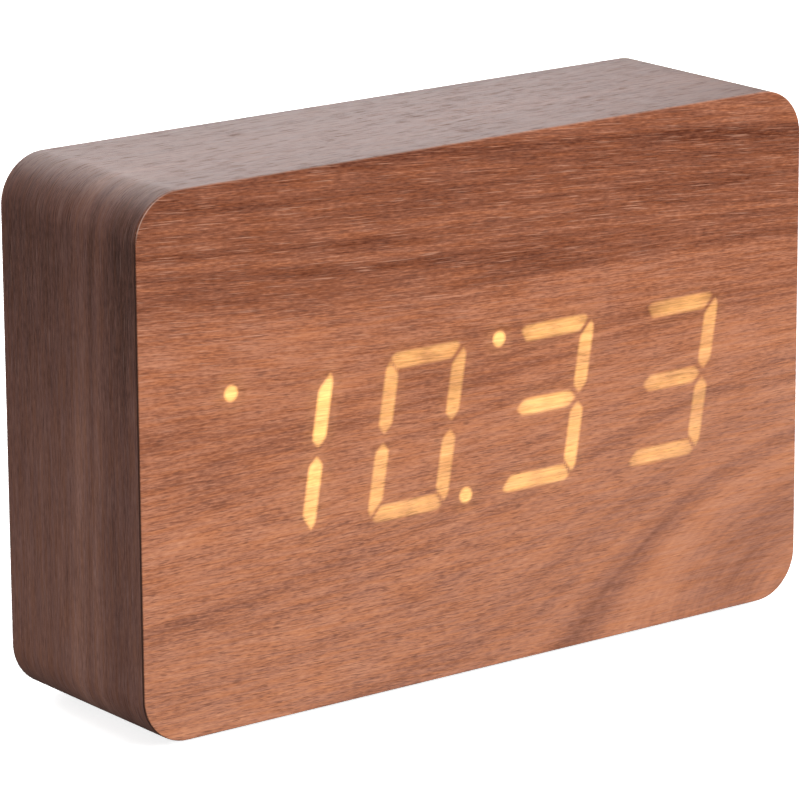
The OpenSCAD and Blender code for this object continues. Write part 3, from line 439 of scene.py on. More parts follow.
def depth_inside(x, z, outline):
    """Depth of points inside a convex outline, negative outside: the smooth least of the distances to the
    lines through its sides, which rounds the corners."""
    middle = outline.mean(axis=0)
    least = np.zeros_like(x)
    for a, b in zip(outline, np.roll(outline, -1, axis=0)):
        normal = np.array([a[1] - b[1], b[0] - a[0]]) / np.linalg.norm(b - a)
        normal = normal * np.sign(normal @ (middle - a))
        distance = (x - a[0]) * normal[0] + (z - a[1]) * normal[1]
        least = least + np.exp(-np.clip(distance / LIGHT_ROUND, -LARGEST_POWER, LARGEST_POWER))
    return -LIGHT_ROUND * np.log(least)


def display_light(x, z, middle_z, shown):
    """Depth in millimetres inside the nearest lit shape, negative outside, and that shape's brightness, which
    is higher near its two light chips."""
    numerals = [shown.hour // 10, shown.hour % 10, shown.minute // 10, shown.minute % 10]
    middles = [seen_box(f"digit_{place}_lenses")[2] for place in (1, 2, 3, 4)]
    middles = [(mx + dx, mz - middle_z + dz) for (mx, mz), (dx, dz) in zip(middles, DIGIT_DRIFT)]
    outlines = segment_outlines(shown)
    depths, powers = [], []
    for (middle_x, middle_y), numeral, level in zip(middles, numerals, DIGIT_POWER):
        for segment in NUMERALS[numeral]:
            outline, count = outlines[segment], len(depths)
            at = outline.mean(axis=0)
            px, pz = x - middle_x - (TOP_DRIFT if segment == TOP_SEGMENT else 0.0), z - middle_y
            along = px - at[0] if segment < FIRST_UPRIGHT else pz - at[1]
            chips = np.exp(-((np.abs(along) - CHIP_PLACE) / CHIP_REACH) ** 2)
            cloud = np.sin(px / CLOUD_X + TURN_X * count) * np.cos(pz / CLOUD_Z + TURN_Z * count)
            depths.append(depth_inside(px, pz, outline))
            powers.append(level * (SEGMENT_LIGHT + CHIP_LIGHT * chips + CLOUD_LIGHT * cloud))
    rise = (shown.digit_height - shown.stroke) / 2
    for digit, side in DOTS:
        middle_x, middle_y = middles[digit]
        dot_z = -side * rise
        dot_x = middle_x + side * (shown.digit_width / 2 + shown.dot_offset) + dot_z * math.tan(shown.lean)
        depths.append(shown.dot_diameter / 2 - DOT_INSET - np.hypot(x - dot_x, z - middle_y - dot_z))
        powers.append(np.full_like(x, DOT_POWER))
    nearest = np.array(depths).argmax(axis=0)[None]
    depth, light = (np.take_along_axis(np.array(stack), nearest, 0)[0] for stack in (depths, powers))
    return {"lamp_depth": depth / MM, "lamp_power": light}


# Finishes

# The usual range of a noise
NOISE_RANGE = (0.3, 0.7)


class Nodes:
    """A node tree, built with short calls. Numbers go into sockets and sockets are linked."""

    def __init__(self, tree):
        self.tree = tree

    def feed(self, socket, value):
        """Links a socket to another one, or sets it to a number or colour."""
        if isinstance(value, bpy.types.NodeSocket):
            self.tree.links.new(value, socket)
        elif socket.type == "RGBA" and len(value) == 3:
            socket.default_value = (*value, 1.0)
        else:
            socket.default_value = value

    def node(self, kind, inputs=None, **settings):
        """A node of a kind, with its settings and inputs."""
        made = self.tree.nodes.new("ShaderNode" + kind)
        for key, value in settings.items():
            setattr(made, key, value)
        for key, value in (inputs or {}).items():
            self.feed(made.inputs[key], value)
        return made


class Finish(Nodes):
    """A material and its node tree."""

    def __init__(self, name, **constants):
        self.material = bpy.data.materials.new(name)
        self.material.use_nodes = True
        super().__init__(self.material.node_tree)
        self.shader = self.tree.nodes["Principled BSDF"]
        self.set(**constants)

    def set(self, **sockets):
        """Sets or links the shader's sockets; an underscore in a name stands for a space."""
        for key, value in sockets.items():
            self.feed(self.shader.inputs[key.replace("_", " ")], value)

    def value(self, name):
        """A number stored on the mesh."""
        return self.node("Attribute", attribute_name=name).outputs["Fac"]

    def course(self, name):
        """The numbers along and across the grain of a course stored on the mesh."""
        stored = self.node("Attribute", attribute_name=name).outputs["Vector"]
        return self.node("SeparateXYZ", {0: stored}).outputs[:2]

    def place(self):
        """Object coordinates in millimetres, as three numbers."""
        split = self.node("SeparateXYZ", {0: self.node("TexCoord").outputs["Object"]})
        return [self.math("MULTIPLY", out, 1.0 / MM) for out in split.outputs]

    def math(self, operation, a, b=0.0, c=0.0, clamp=False):
        """One step of arithmetic."""
        return self.node("Math", {0: a, 1: b, 2: c}, operation=operation, use_clamp=clamp).outputs[0]

    def vector(self, x, y, z=0.0):
        """Three numbers as one vector."""
        return self.node("CombineXYZ", {0: x, 1: y, 2: z}).outputs[0]

    def noise(self, vector, scale=1.0, detail=2.0, roughness=0.5):
        """Noise at a vector, from 0 to 1."""
        return self.node("TexNoise", {"Vector": vector, "Scale": scale, "Detail": detail,
                                      "Roughness": roughness}).outputs["Fac"]

    def mottle(self, grain_mm, detail=2.0, roughness=0.5):
        """Noise in space whose grains have a size in millimetres."""
        return self.noise(self.vector(*self.place()), 1.0 / grain_mm, detail, roughness)

    def drawn(self, course, length_mm, width_mm, seed=0.0, detail=2.0):
        """Noise that is drawn out along a course."""
        along, across = (self.math("DIVIDE", way, size) for way, size in zip(course, (length_mm, width_mm)))
        return self.noise(self.vector(along, across, seed), 1.0, detail)

    def sway(self, total, noise, amount):
        """A number that a noise moves up and down by an amount."""
        return self.math("MULTIPLY_ADD", self.math("SUBTRACT", noise, 0.5), amount, total)

    def span(self, value, low, high, to_low=0.0, to_high=1.0):
        """Carries low to high onto to_low to to_high, with smooth ends."""
        return self.node("MapRange", {"Value": value, "From Min": low, "From Max": high, "To Min": to_low,
                                      "To Max": to_high}, interpolation_type="SMOOTHSTEP").outputs["Result"]

    def blend(self, factor, a, b, kind="MIX"):
        """Colour a with colour b laid over it by a factor."""
        factors = {"Factor": factor, 6: a, 7: b}
        return self.node("Mix", factors, data_type="RGBA", blend_type=kind).outputs[2]

    def ramp(self, value, *stops):
        """Colour along a ramp of (place, colour) stops."""
        made = self.node("ValToRGB", {"Fac": value})
        marks = made.color_ramp.elements
        while len(marks) < len(stops):
            marks.new(0.5)
        for mark, (place, shade) in zip(marks, stops):
            mark.position, mark.color = place, (*shade, 1.0)
        return made.outputs["Color"]

    def tinted(self, noise, dark, pale):
        """Sets the colour, from dark to pale over the usual range of a noise."""
        self.set(Base_Color=self.ramp(noise, *zip(NOISE_RANGE, (dark, pale))))

    def dulled(self, noise, roughness, reach):
        """Sets the roughness, which a noise moves up and down within a reach."""
        self.set(Roughness=self.span(noise, *NOISE_RANGE, roughness - reach, roughness + reach))

    def bump(self, height, depth, strength, normal=None):
        """Sets the normal of a surface whose height runs over a depth in millimetres, on a given normal."""
        made = self.node("Bump", {"Height": height, "Strength": strength, "Distance": depth * MM})
        if normal:
            self.feed(made.inputs["Normal"], normal)
        self.set(Normal=made.outputs["Normal"])


def scaled(shade, share):
    """A colour times a share."""
    return [channel * share for channel in shade]


# Noises of the walnut: the course that each follows, its length and width in millimetres, its seed and detail
WALNUT_NOISE = {
    "band": ("figure", 60.0, 4.5, 0.0, 3.0),
    "streak": ("figure", 34.0, 1.2, 11.0, 3.0),
    "patch": ("fibres", 18.0, 2.2, 17.0, 3.0),
    "fibre": ("fibres", 7.0, 0.30, 23.0, 3.0),
    "line": ("fibres", 1.5, 0.27, 29.0, 2.0),
    # Short pale dashes along the fibres, painted as glints of light off the pores
    "fleck": ("fibres", 8.0, 0.22, 53.0, 1.0),
    "warm": ("fibres", 11.0, 0.8, 71.0, 3.0),
}
# How much the broad noises and the fine ones change the tone
BROAD_AMOUNTS = {"band": 0.26, "streak": 0.32, "patch": 0.24}
FINE_AMOUNTS = {"fibre": 0.52, "line": 0.66}
# The four shades, and their places on the tone
SHADE_NAMES, SHADE_PLACES = ("dark", "brown", "orange", "tan"), (0.0, 0.36, 0.64, 1.0)
# Pores: their seed, how patches gather them, where the noise makes one, and how dull and deep they are
PORE_SEED, PORE_GATHER, PORE_RANGE, PORE_DULL, PORE_SINK = 37.0, -0.22, (0.57, 0.70), 0.28, -0.6
# Painted glints: where the noise makes one, its strength, the share of the palest shade in it, and what is
# added
GLINT_RANGE, GLINT_SHARE, GLINT_TAN, GLINT_WHITE = (0.60, 0.73), 0.5, 0.9, 0.06
# Warm stretches: where the noise makes one, and its tint
WARM_RANGE, WARM_TINT = (0.35, 0.68), (1.0, 0.90, 0.76)
# Roughness between the fibres and on them, how high they rise, and depth and strength of the relief
FIBRE_ROUGHNESS, FIBRE_RISE, RELIEF_MM, RELIEF_STRENGTH = (0.38, 0.46), 0.6, 0.05, 0.5
# Light that fibres and patches let through over a range of their noise, and what pores hold back
VEIL_RANGE, FIBRE_VEIL, PATCH_VEIL, PORE_VEIL = (0.25, 0.75), (0.80, 1.10), (0.82, 1.16), -0.22


def shades_of(wood, zone):
    """The four shades of a zone of the wood, from dark to pale."""
    return [getattr(wood, f"{zone}_{name}")[:] for name in SHADE_NAMES]


def walnut(finish, figure, fibres, tone, shades, seed, pale=0.5, contrast=1.0, fine=1.0, other=None,
           pore_mm=(3.0, 0.22), pore_dark=0.62):
    """Lacquered walnut. Bands and streaks of noise drawn out along the figure, and patches and fine lines
    drawn out along the fibres, change the tone, which picks a shade from dark to pale, or from other shades
    where their share is high; short dark pores lie along the fibres, and short pale glints of light are
    painted along them. Sets colour, gloss and relief, and returns the colour and how much light comes
    through."""
    ways = {"figure": figure, "fibres": fibres}
    noise = {name: finish.drawn(ways[way], length_mm, width_mm, seed + own_seed, detail)
             for name, (way, length_mm, width_mm, own_seed, detail) in WALNUT_NOISE.items()}
    for name, amount in BROAD_AMOUNTS.items():
        tone = finish.sway(tone, noise[name], contrast * amount)
    for name, amount in FINE_AMOUNTS.items():
        tone = finish.sway(tone, noise[name], finish.math("MULTIPLY", fine, contrast * amount))
    ground = finish.ramp(tone, *zip(SHADE_PLACES, shades))
    if other:
        ground = finish.blend(other[0], ground, finish.ramp(tone, *zip(SHADE_PLACES, other[1])))
    pore = finish.drawn(fibres, *pore_mm, seed + PORE_SEED, detail=1.0)
    pore = finish.span(finish.sway(pore, noise["patch"], PORE_GATHER), *PORE_RANGE)
    pore = finish.math("MULTIPLY", pore, fine, clamp=True)
    # Pale dashes laid into the colour along the fibres: painted glints of light
    fleck = finish.math("MULTIPLY", finish.span(noise["fleck"], *GLINT_RANGE), pale)
    glint_shade = [GLINT_TAN * channel + GLINT_WHITE for channel in shades[-1]]
    ground = finish.blend(finish.span(noise["warm"], *WARM_RANGE), ground, WARM_TINT, "MULTIPLY")
    ground = finish.blend(finish.math("MULTIPLY", pore, pore_dark), ground, shades[0])
    ground = finish.blend(finish.math("MULTIPLY", fleck, GLINT_SHARE), ground, glint_shade)
    dull = finish.span(noise["fibre"], *NOISE_RANGE, *FIBRE_ROUGHNESS)
    finish.set(Base_Color=ground, Roughness=finish.math("MULTIPLY_ADD", pore, PORE_DULL, dull))
    rise = finish.math("MULTIPLY", noise["fibre"], FIBRE_RISE)
    finish.bump(finish.math("MULTIPLY_ADD", pore, PORE_SINK, rise), RELIEF_MM, RELIEF_STRENGTH)
    veil = finish.math("MULTIPLY_ADD", pore, PORE_VEIL, finish.span(noise["fibre"], *VEIL_RANGE, *FIBRE_VEIL))
    return ground, finish.math("MULTIPLY", veil, finish.span(noise["patch"], *VEIL_RANGE, *PATCH_VEIL))


# Depths, in millimetres, between which the display's light comes up and its halo fades, and the halo's share
LIGHT_EDGE = (-0.42, 0.50)
HALO_REACH, HALO_SHARE = (-5.0, 0.2), 0.05


def front_walnut(wood, shown):
    """The front sheet: walnut with its figure, level fibres, dark cut edges, a painted highlight along its
    upper edge, and the light of the display."""
    finish = Finish("walnut_front", Specular_IOR_Level=0.25)
    other = (finish.value("orange_share"), shades_of(wood, "upper"))
    ground, veil = walnut(finish, finish.course("figure"), finish.course("fibres"), finish.value("tone"),
                          shades_of(wood, "lower"), seed=3.0, pale=finish.value("flecks"), contrast=1.35,
                          fine=finish.value("fineness"), other=other)
    ground = finish.blend(finish.value("cut"), ground, wood.wrap_dark[:])
    # A painted highlight: the pale arris colour along the upper edge
    finish.set(Base_Color=finish.blend(finish.value("arris"), ground, wood.arris[:]))
    depth = finish.value("lamp_depth")
    halo = finish.math("POWER", finish.span(depth, *HALO_REACH), 2.0)
    light = finish.math("MULTIPLY_ADD", halo, HALO_SHARE, finish.span(depth, *LIGHT_EDGE))
    light = finish.math("MULTIPLY", finish.math("MULTIPLY", light, finish.value("lamp_power")), veil)
    finish.set(Emission_Color=shown.glow_colour[:])
    finish.set(Emission_Strength=finish.math("MULTIPLY", light, shown.glow_strength))
    return finish.material


# Paleness of the wrapped veneer at shares of its depth from back to front, on the sides and on the top
SIDE_DEPTH = ((0.0, 0.40), (0.36, 0.47), (0.49, 0.49), (0.55, 0.71), (0.61, 0.58), (0.65, 0.44),
              (0.70, 0.66), (0.75, 0.47), (0.83, 0.33), (1.0, 0.43))
TOP_DEPTH = ((0.0, 0.44), (0.55, 0.54), (0.80, 0.50), (1.0, 0.44))
# The same at shares of its length, from the base's right end over the right side, the top and the left side
# Partly painted shade: the left side is darkest just below its upper rounding and grows paler towards its
# foot
LENGTH_TONE_AND_SHADE = ((0.0, 0.50), (0.24, 0.46), (0.495, 0.53), (0.512, 0.50), (0.53, 0.27), (0.55, 0.30),
               (0.61, 0.51), (0.69, 0.57), (0.76, 0.50))
# Where the top lies on that length
TOP_REACH = ((0.19, 0.0), (0.25, 1.0), (0.47, 1.0), (0.52, 0.0))
# Stretch of that length over which the streaks lean, and the share of the depth at the middle there
LEAN_RUN, LEAN_MIDDLE = (0.52, 0.70), (0.46, 0.54)
# Length and width of the streaks' wander in millimetres, and its share of the depth
WANDER_MM, WANDER_SHARE = (45.0, 14.0), 0.12


def wrap_walnut(wood, depth_mm, round_mm):
    """The wrapped veneer: walnut whose grain runs round the case, with soft streaks along it that lean on the
    left side, and painted shade that darkens the left side most just below its upper rounding."""
    finish = Finish("walnut_wrap", Specular_IOR_Level=0.4)
    grain = along, across = finish.course("grain")

    def level(place, stops):
        """Grey along a ramp of (place, paleness) stops."""
        return finish.ramp(place, *((at, (value,) * 3) for at, value in stops))

    gone = finish.math("DIVIDE", along, round_mm)
    share = finish.math("MULTIPLY_ADD", across, -1.0 / depth_mm, finish.span(gone, *LEAN_RUN, *LEAN_MIDDLE))
    share = finish.sway(share, finish.drawn(grain, *WANDER_MM), WANDER_SHARE)
    tone = finish.blend(level(gone, TOP_REACH), level(share, SIDE_DEPTH), level(share, TOP_DEPTH))
    # Tone along the band: wood tone, with painted shade on the left side
    tone = finish.sway(tone, level(gone, LENGTH_TONE_AND_SHADE), 1.0)
    walnut(finish, grain, grain, tone, shades_of(wood, "wrap"), seed=71.0, contrast=0.8, fine=1.3,
           pore_mm=(5.0, 0.26), pore_dark=0.3)
    return finish.material


# Length and width in millimetres of the bands on the rear rim, and their seed
RIM_BANDS = (120.0, 8.0, 9.0)


def rim_walnut(wood):
    """The rear rim: one sheet with its grain along X."""
    finish = Finish("walnut_rim", Specular_IOR_Level=0.4)
    grain = finish.place()[::2]
    walnut(finish, grain, grain, finish.drawn(grain, *RIM_BANDS), shades_of(wood, "wrap"), seed=131.0,
           contrast=1.2, fine=1.4)
    return finish.material


# Size of the clouds in plastic in millimetres, the shares of its colour in them, and its gloss's reach
CLOUD_MM, CLOUD_SHARES, SPARK_REACH = 20.0, (0.88, 1.12), 0.07
# Where the noise makes hollows in plastic, which get painted shade, and the softened width of their edges
HOLLOW_RANGE, EDGE_SOFT = (0.35, 0.65), 0.25 * MM


def moulded(name, base, roughness, grain_mm, relief_mm, hollow_shade=0.85):
    """Moulded plastic with a fine spark-eroded texture, with painted shade that darkens its hollows."""
    finish = Finish(name, Specular_IOR_Level=0.45)
    spark = finish.mottle(grain_mm, detail=3.0, roughness=0.6)
    ground = finish.ramp(finish.mottle(CLOUD_MM), *zip(NOISE_RANGE, (scaled(base, s) for s in CLOUD_SHARES)))
    # Painted shade: the colour is multiplied darker in the hollows of the texture
    deep = finish.span(spark, *HOLLOW_RANGE, 1.0, 0.0)
    finish.set(Base_Color=finish.blend(deep, ground, (hollow_shade,) * 3, "MULTIPLY"))
    finish.dulled(spark, roughness, SPARK_REACH)
    softened = finish.node("Bevel", {"Radius": EDGE_SOFT}).outputs[0]
    finish.bump(spark, relief_mm, strength=0.6, normal=softened)
    return finish.material


# Share of its colour that metal or resin keeps where it is darkest
DARK_SHARE = 0.9


def metal(name, base, roughness, grain_mm=0.2):
    """Plated metal with fine marks in its gloss."""
    finish = Finish(name, Metallic=1.0)
    marks = finish.mottle(grain_mm, detail=3.0)
    finish.tinted(marks, scaled(base, DARK_SHARE), base)
    finish.dulled(marks, roughness, reach=0.08)
    return finish.material


def resin(name, base, roughness, through):
    """Tinted resin with faint clouds."""
    finish = Finish(name, Transmission_Weight=through, IOR=1.5)
    cloud = finish.mottle(grain_mm=2.5)
    finish.tinted(cloud, scaled(base, DARK_SHARE), base)
    finish.dulled(cloud, roughness, reach=0.05)
    return finish.material


def fibreboard():
    """Milled fibreboard: pale brown with short fibres."""
    finish = Finish("fibreboard")
    speck = finish.mottle(grain_mm=1.0 / 2.2, detail=4.0, roughness=0.65)
    finish.tinted(speck, dark=(0.26, 0.17, 0.10), pale=(0.46, 0.33, 0.21))
    finish.dulled(speck, roughness=0.9, reach=0.05)
    finish.bump(speck, depth=0.05, strength=0.5)
    return finish.material


def circuit_board():
    """Green solder resist over a field of copper tracks."""
    finish = Finish("circuit_board", Specular_IOR_Level=0.5)
    x, y, z = finish.place()
    tracks = finish.node("TexBrick", {"Vector": finish.vector(x, z), "Scale": 0.25, "Mortar Size": 0.03,
                                      "Color1": WHITE, "Color2": WHITE, "Mortar": BLACK})
    clouds = finish.noise(finish.vector(x, y, z), scale=0.3)
    shade = finish.math("MULTIPLY_ADD", tracks.outputs["Color"], 0.6, clouds)
    finish.set(Base_Color=finish.ramp(shade, (0.3, (0.012, 0.11, 0.035)), (1.0, (0.006, 0.055, 0.02))))
    finish.set(Roughness=finish.span(shade, 0.3, 1.0, to_low=0.3, to_high=0.42))
    return finish.material


# Number of cells, and the stretch over which a sleeve's colour turns into its band, from the cell's middle
CELLS = 4
SLEEVE_BAND = (14.6, 14.9)
# Colours of a sleeve and of its band
SLEEVE_BLUE, BAND_SILVER = (0.055, 0.095, 0.13), (0.55, 0.56, 0.55)


def cell_sleeve():
    """A cell's plain sleeve, grey-blue with a pale band at its cap, which lies at alternate ends."""
    finish = Finish("cell_sleeve", Metallic=0.35)
    x, y, z = finish.place()
    lo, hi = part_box("battery_cells")
    pitch = (hi.z - lo.z) / CELLS / MM
    row = finish.math("FLOOR", finish.math("DIVIDE", finish.math("SUBTRACT", z, lo.z / MM), pitch))
    even = finish.math("MULTIPLY_ADD", finish.math("MODULO", row, 2.0), -2.0, 1.0)
    band = finish.span(finish.math("MULTIPLY", x, even), *SLEEVE_BAND)
    finish.set(Base_Color=finish.blend(band, SLEEVE_BLUE, BAND_SILVER))
    finish.dulled(finish.noise(finish.vector(x, y, z), scale=3.0), roughness=0.32, reach=0.04)
    return finish.material


# Pitch of the ribbon cable's wires
WIRE_PITCH_MM = 1.27


def ribbon():
    """Flat cable: a row of round wires side by side, with painted shade in the grooves between them."""
    finish = Finish("ribbon_grey")
    x, y, z = finish.place()
    wave = finish.math("ABSOLUTE", finish.math("SINE", finish.math("MULTIPLY", x, math.pi / WIRE_PITCH_MM)))
    # Painted shade: the colour goes dark in the grooves between the wires and pale on their crests
    shade = finish.math("MULTIPLY_ADD", finish.noise(finish.vector(x, y, z), scale=0.8), 0.3, wave)
    finish.set(Base_Color=finish.ramp(shade, (0.1, (0.16, 0.16, 0.17)), (0.7, (0.42, 0.42, 0.43))))
    finish.set(Roughness=finish.span(shade, 0.2, 1.0, to_low=0.5, to_high=0.42))
    finish.bump(wave, depth=0.3, strength=0.7)
    return finish.material


# Plastics: colour, roughness, grain and relief in millimetres, and for the cover the painted shade of its
# hollows
PLASTICS = {
    "pad_rubber": ((0.02, 0.02, 0.021), 0.82, 0.3, 0.04),
    "white_plastic": ((0.74, 0.74, 0.71), 0.55, 0.3, 0.02),
    "component_black": ((0.016, 0.016, 0.017), 0.5, 0.25, 0.02),
    "capacitor_sleeve": ((0.012, 0.016, 0.06), 0.3, 0.5, 0.01),
    "cover_plastic": ((0.023, 0.023, 0.024), 0.46, 0.7, 0.24, 0.45),
    "lead_red": ((0.5, 0.02, 0.015), 0.4, 0.6, 0.01),
    "lead_black": ((0.015, 0.015, 0.015), 0.4, 0.6, 0.01),
    "key_plastic": ((0.045, 0.045, 0.047), 0.42, 0.22, 0.02),
}
MARK_PAINT = ("mark_paint", (0.52, 0.52, 0.50), 0.5, 0.3, 0.01)
# Metals: colour and roughness
METALS = {
    "plated_steel": ((0.6, 0.6, 0.61), 0.32),
    "black_screw": ((0.12, 0.12, 0.125), 0.36),
    "plated_brass": ((0.78, 0.58, 0.26), 0.28),
    "contact_nickel": ((0.66, 0.64, 0.6), 0.25),
}
# Resins: colour, roughness, and how much light comes through
RESINS = {
    "amber_lens": ((0.9, 0.45, 0.07), 0.45, 0.5),
    "led_chip": ((0.85, 0.75, 0.4), 0.3, 0.2),
}


def finishes(wood):
    """The material of every slot of the record."""
    made = {"fibreboard": fibreboard(), "walnut_veneer": rim_walnut(wood), "circuit_board": circuit_board(),
            "ribbon_grey": ribbon(), "cell_sleeve": cell_sleeve()}
    for make, table in ((moulded, PLASTICS), (metal, METALS), (resin, RESINS)):
        made.update({name: make(name, *values) for name, values in table.items()})
    return made


# Operators

class CLOCK_OT_finishes(bpy.types.Operator):
    """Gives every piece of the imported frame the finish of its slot"""
    bl_idname = "clock.finishes"
    bl_label = "Finishes"

    def execute(self, context):
        made = finishes(context.scene.clock_wood)
        for part in frame["record"]["subparts"]:
            materials = frame["nodes"][part["node"]].data.materials
            materials.clear()
            materials.append(made[part["material_slot"]])
        return {"FINISHED"}


# Where the front sheet's mesh is finer: half its width, and its lowest and highest point from the middle
DISPLAY_X = 60.0 * MM
DISPLAY_Z = (-20.0 * MM, 16.0 * MM)
# Rows over each round corner of the front sheet
CORNER_ROWS = 14
# Painted highlight on the upper edge: where the edge's slope begins and is full, and how much less its level
# stretch gets
HIGHLIGHT_SLOPE, LEVEL_SLOPE, LEVEL_LOSS = (0.05, 0.35), (0.7, 1.0), 0.6
# Share of the edge's rounding within which the sheet still counts as flat
FLAT_SHARE = 0.1
# How fast the dark of the cut edge fades towards the sheet's upper edge
CUT_FADE = 2.0


def sheet_grid(case, flat_w, flat_h, radius):
    """Points x and z of a flat sheet as a grid whose rows follow the round corners, where a row's rise is the
    sine of its turn and its bulge the cosine; and x and z of the way out, as it is at the border."""
    straight = flat_h - radius
    steps = [case.coarse_step, case.fine_step, case.coarse_step]
    turn = np.linspace(0.0, math.pi / 2, CORNER_ROWS + 1)[1:]
    level = spaced([-straight, *DISPLAY_Z, straight], steps)
    share = spaced([-flat_w, -DISPLAY_X, DISPLAY_X, flat_w], steps) / flat_w
    rise = np.concatenate([-np.sin(turn[::-1]), np.zeros_like(level), np.sin(turn)])
    bulge = np.concatenate([np.cos(turn[::-1]), np.ones_like(level), np.cos(turn)])
    start = np.concatenate([np.full_like(turn, -straight), level, np.full_like(turn, straight)])
    x = (flat_w - radius + radius * bulge)[:, None] * share
    z, out_z = (np.broadcast_to(column[:, None], x.shape) for column in (start + radius * rise, rise))
    return x, z, bulge[:, None] * np.sign(share), out_z


class CLOCK_OT_front_sheet(bpy.types.Operator):
    """Lays the veneer of the front, with its figure and the light of the display"""
    bl_idname = "clock.front_sheet"
    bl_label = "Front sheet"

    def execute(self, context):
        scene = context.scene
        case, shown = scene.clock_case, scene.clock_display
        half_w, half_h, (_, middle_z), (front_y, back_y) = seen_box("front_veneer")
        edge = case.edge_radius
        x, z, out_x, out_z = sheet_grid(case, half_w - edge, half_h - edge, case.corner_radius - edge)
        index = np.arange(x.size).reshape(x.shape)
        flat = np.stack([index[:-1, :-1], index[:-1, 1:], index[1:, 1:], index[1:, :-1]], -1).reshape(-1, 4)
        # The border, anticlockwise, and the rounding and wall that go back from it
        border = np.concatenate([index[0], index[1:, -1], index[-1, -2::-1], index[-2:0:-1, 0]])
        x, z, out_x, out_z = x.ravel(), z.ravel(), out_x.ravel()[border], out_z.ravel()[border]
        out, back = quarter_round(edge)
        out, back = np.append(out[1:], edge), np.append(back[1:], back_y - front_y)
        wall_x, wall_z = x[border] + out[:, None] * out_x, z[border] + out[:, None] * out_z
        wall_y = np.broadcast_to(front_y + back[:, None], wall_x.shape)
        px, pz = np.concatenate([x, wall_x.ravel()]), np.concatenate([z, wall_z.ravel()])
        py = np.concatenate([np.full(x.size, front_y), wall_y.ravel()])
        loops = np.vstack([border, x.size + np.arange(wall_x.size).reshape(wall_x.shape)])
        walls = loops.ravel()[band_quads(*loops.shape)]
        faces = [*flat.tolist(), *walls.tolist(), loops[-1, ::-1].tolist()]
        values = figure_values(px / MM, pz / MM, half_w / MM, scene.clock_figure)
        values.update(display_light(px, pz, middle_z, shown))
        # The painted glints lie only on the flat face
        values["flecks"] *= py < front_y + FLAT_SHARE * edge
        # Dark where the sheet was cut, all round but for its upper edge, and a pale painted highlight along
        # that one
        gone = np.clip((wall_y - front_y) / edge, 0.0, 1.0)
        level = 1.0 - LEVEL_LOSS * smoothstep(*LEVEL_SLOPE, out_z)
        edge_highlight = np.sin(gone * math.pi) * smoothstep(*HIGHLIGHT_SLOPE, out_z) * level
        cut = gone * np.clip(1.0 - CUT_FADE * out_z, 0.0, 1.0)
        for name, wall_value in (("cut", cut), ("arris", edge_highlight)):
            values[name] = np.concatenate([np.zeros(x.size), wall_value.ravel()])
        points = np.stack([px, py, pz + middle_z], -1)
        add_piece("front_sheet", points, faces, front_walnut(scene.clock_wood, shown), "case",
                  ["front_veneer"], values)
        return {"FINISHED"}


# Steps round each corner of the wrapped veneer, the rear rim and a key
WRAP_STEPS, RIM_STEPS, KEY_STEPS = 24, 16, 8


class CLOCK_OT_wrap_band(bpy.types.Operator):
    """Wraps the veneer round the case, with its grain along the band"""
    bl_idname = "clock.wrap_band"
    bl_label = "Wrap band"

    def execute(self, context):
        case = context.scene.clock_case
        half_w, half_h, middle, (front_y, back_y) = seen_box("wrap_veneer")
        sheet_front, sheet_back = seen_box("front_veneer")[3]
        thick = sheet_back - sheet_front
        inset = np.array([0.0, 0.0, thick, thick])
        level = np.array([front_y, back_y, back_y, front_y])
        radius = case.corner_radius - inset
        points = rings(half_w - inset, half_h - inset, radius, level, middle, WRAP_STEPS)
        rows, cols = points.shape[:2]
        faces = band_quads(rows, cols, closed=True)
        # Along the grain is the way round the case, and across it the depth, at each corner of a face
        run, deep = perimeter(points[0]) / MM, level / MM
        i, j = np.divmod(np.arange(rows * cols), cols)
        next_i = (i + 1) % rows
        along = np.stack([run[j], run[j], run[j + 1], run[j + 1]], -1)
        across = np.stack([deep[i], deep[next_i], deep[next_i], deep[i]], -1)
        grain = np.stack([along, across, np.zeros_like(along)], -1).reshape(-1, 3)
        finish = wrap_walnut(context.scene.clock_wood, (back_y - front_y) / MM, run[-1])
        add_piece("wrap_band", points, faces.tolist(), finish, "case", ["wrap_veneer"],
                  corner_values={"grain": grain})
        return {"FINISHED"}


class CLOCK_OT_rear_rim(bpy.types.Operator):
    """Lays the veneered rim round the back"""
    bl_idname = "clock.rear_rim"
    bl_label = "Rear rim"

    def execute(self, context):
        case = context.scene.clock_case
        half_w, half_h, middle, (front_y, back_y) = seen_box("rear_veneer")
        edge, wide = case.edge_radius, case.opening_rim
        out, back = quarter_round(edge)
        # How far each ring lies inside the outer outline: up the outer wall, over the face, down the inner
        inset = np.concatenate([[0.0], (edge - out)[::-1], wide - (edge - out), [wide]])
        level = np.concatenate([[front_y], (back_y - back)[::-1], back_y - back, [front_y]])
        inner = inset > wide / 2
        radius = np.where(inner, case.opening_radius + wide - inset, case.corner_radius - inset)
        points = rings(half_w - inset, half_h - inset, radius, level, middle, RIM_STEPS)
        add_piece("rear_rim", points, band_quads(*points.shape[:2], closed=True).tolist(),
                  bpy.data.materials["walnut_rim"], "case", ["rear_veneer"])
        return {"FINISHED"}


# Corners of each key's mark and the direction of the first one: a dot, an arrow down and an arrow up
KEY_MARKS = {"set": (1, 0.0), "down": (3, 270.0), "up": (3, 90.0)}
# Rings over a key's dish, the half width of the slot that their last one leaves, and the least corner radius
DISH_RINGS, SLOT_HALF, LEAST_RADIUS = 8, 0.05 * MM, 0.04 * MM
# Steps round a mark, its dot's radius and bevel as shares of reach and rise, and the place of its root
MARK_STEPS, DOT_SHARE, BEVEL_SHARE, MARK_ROOT = 24, 0.9, 0.3, -0.1 * MM


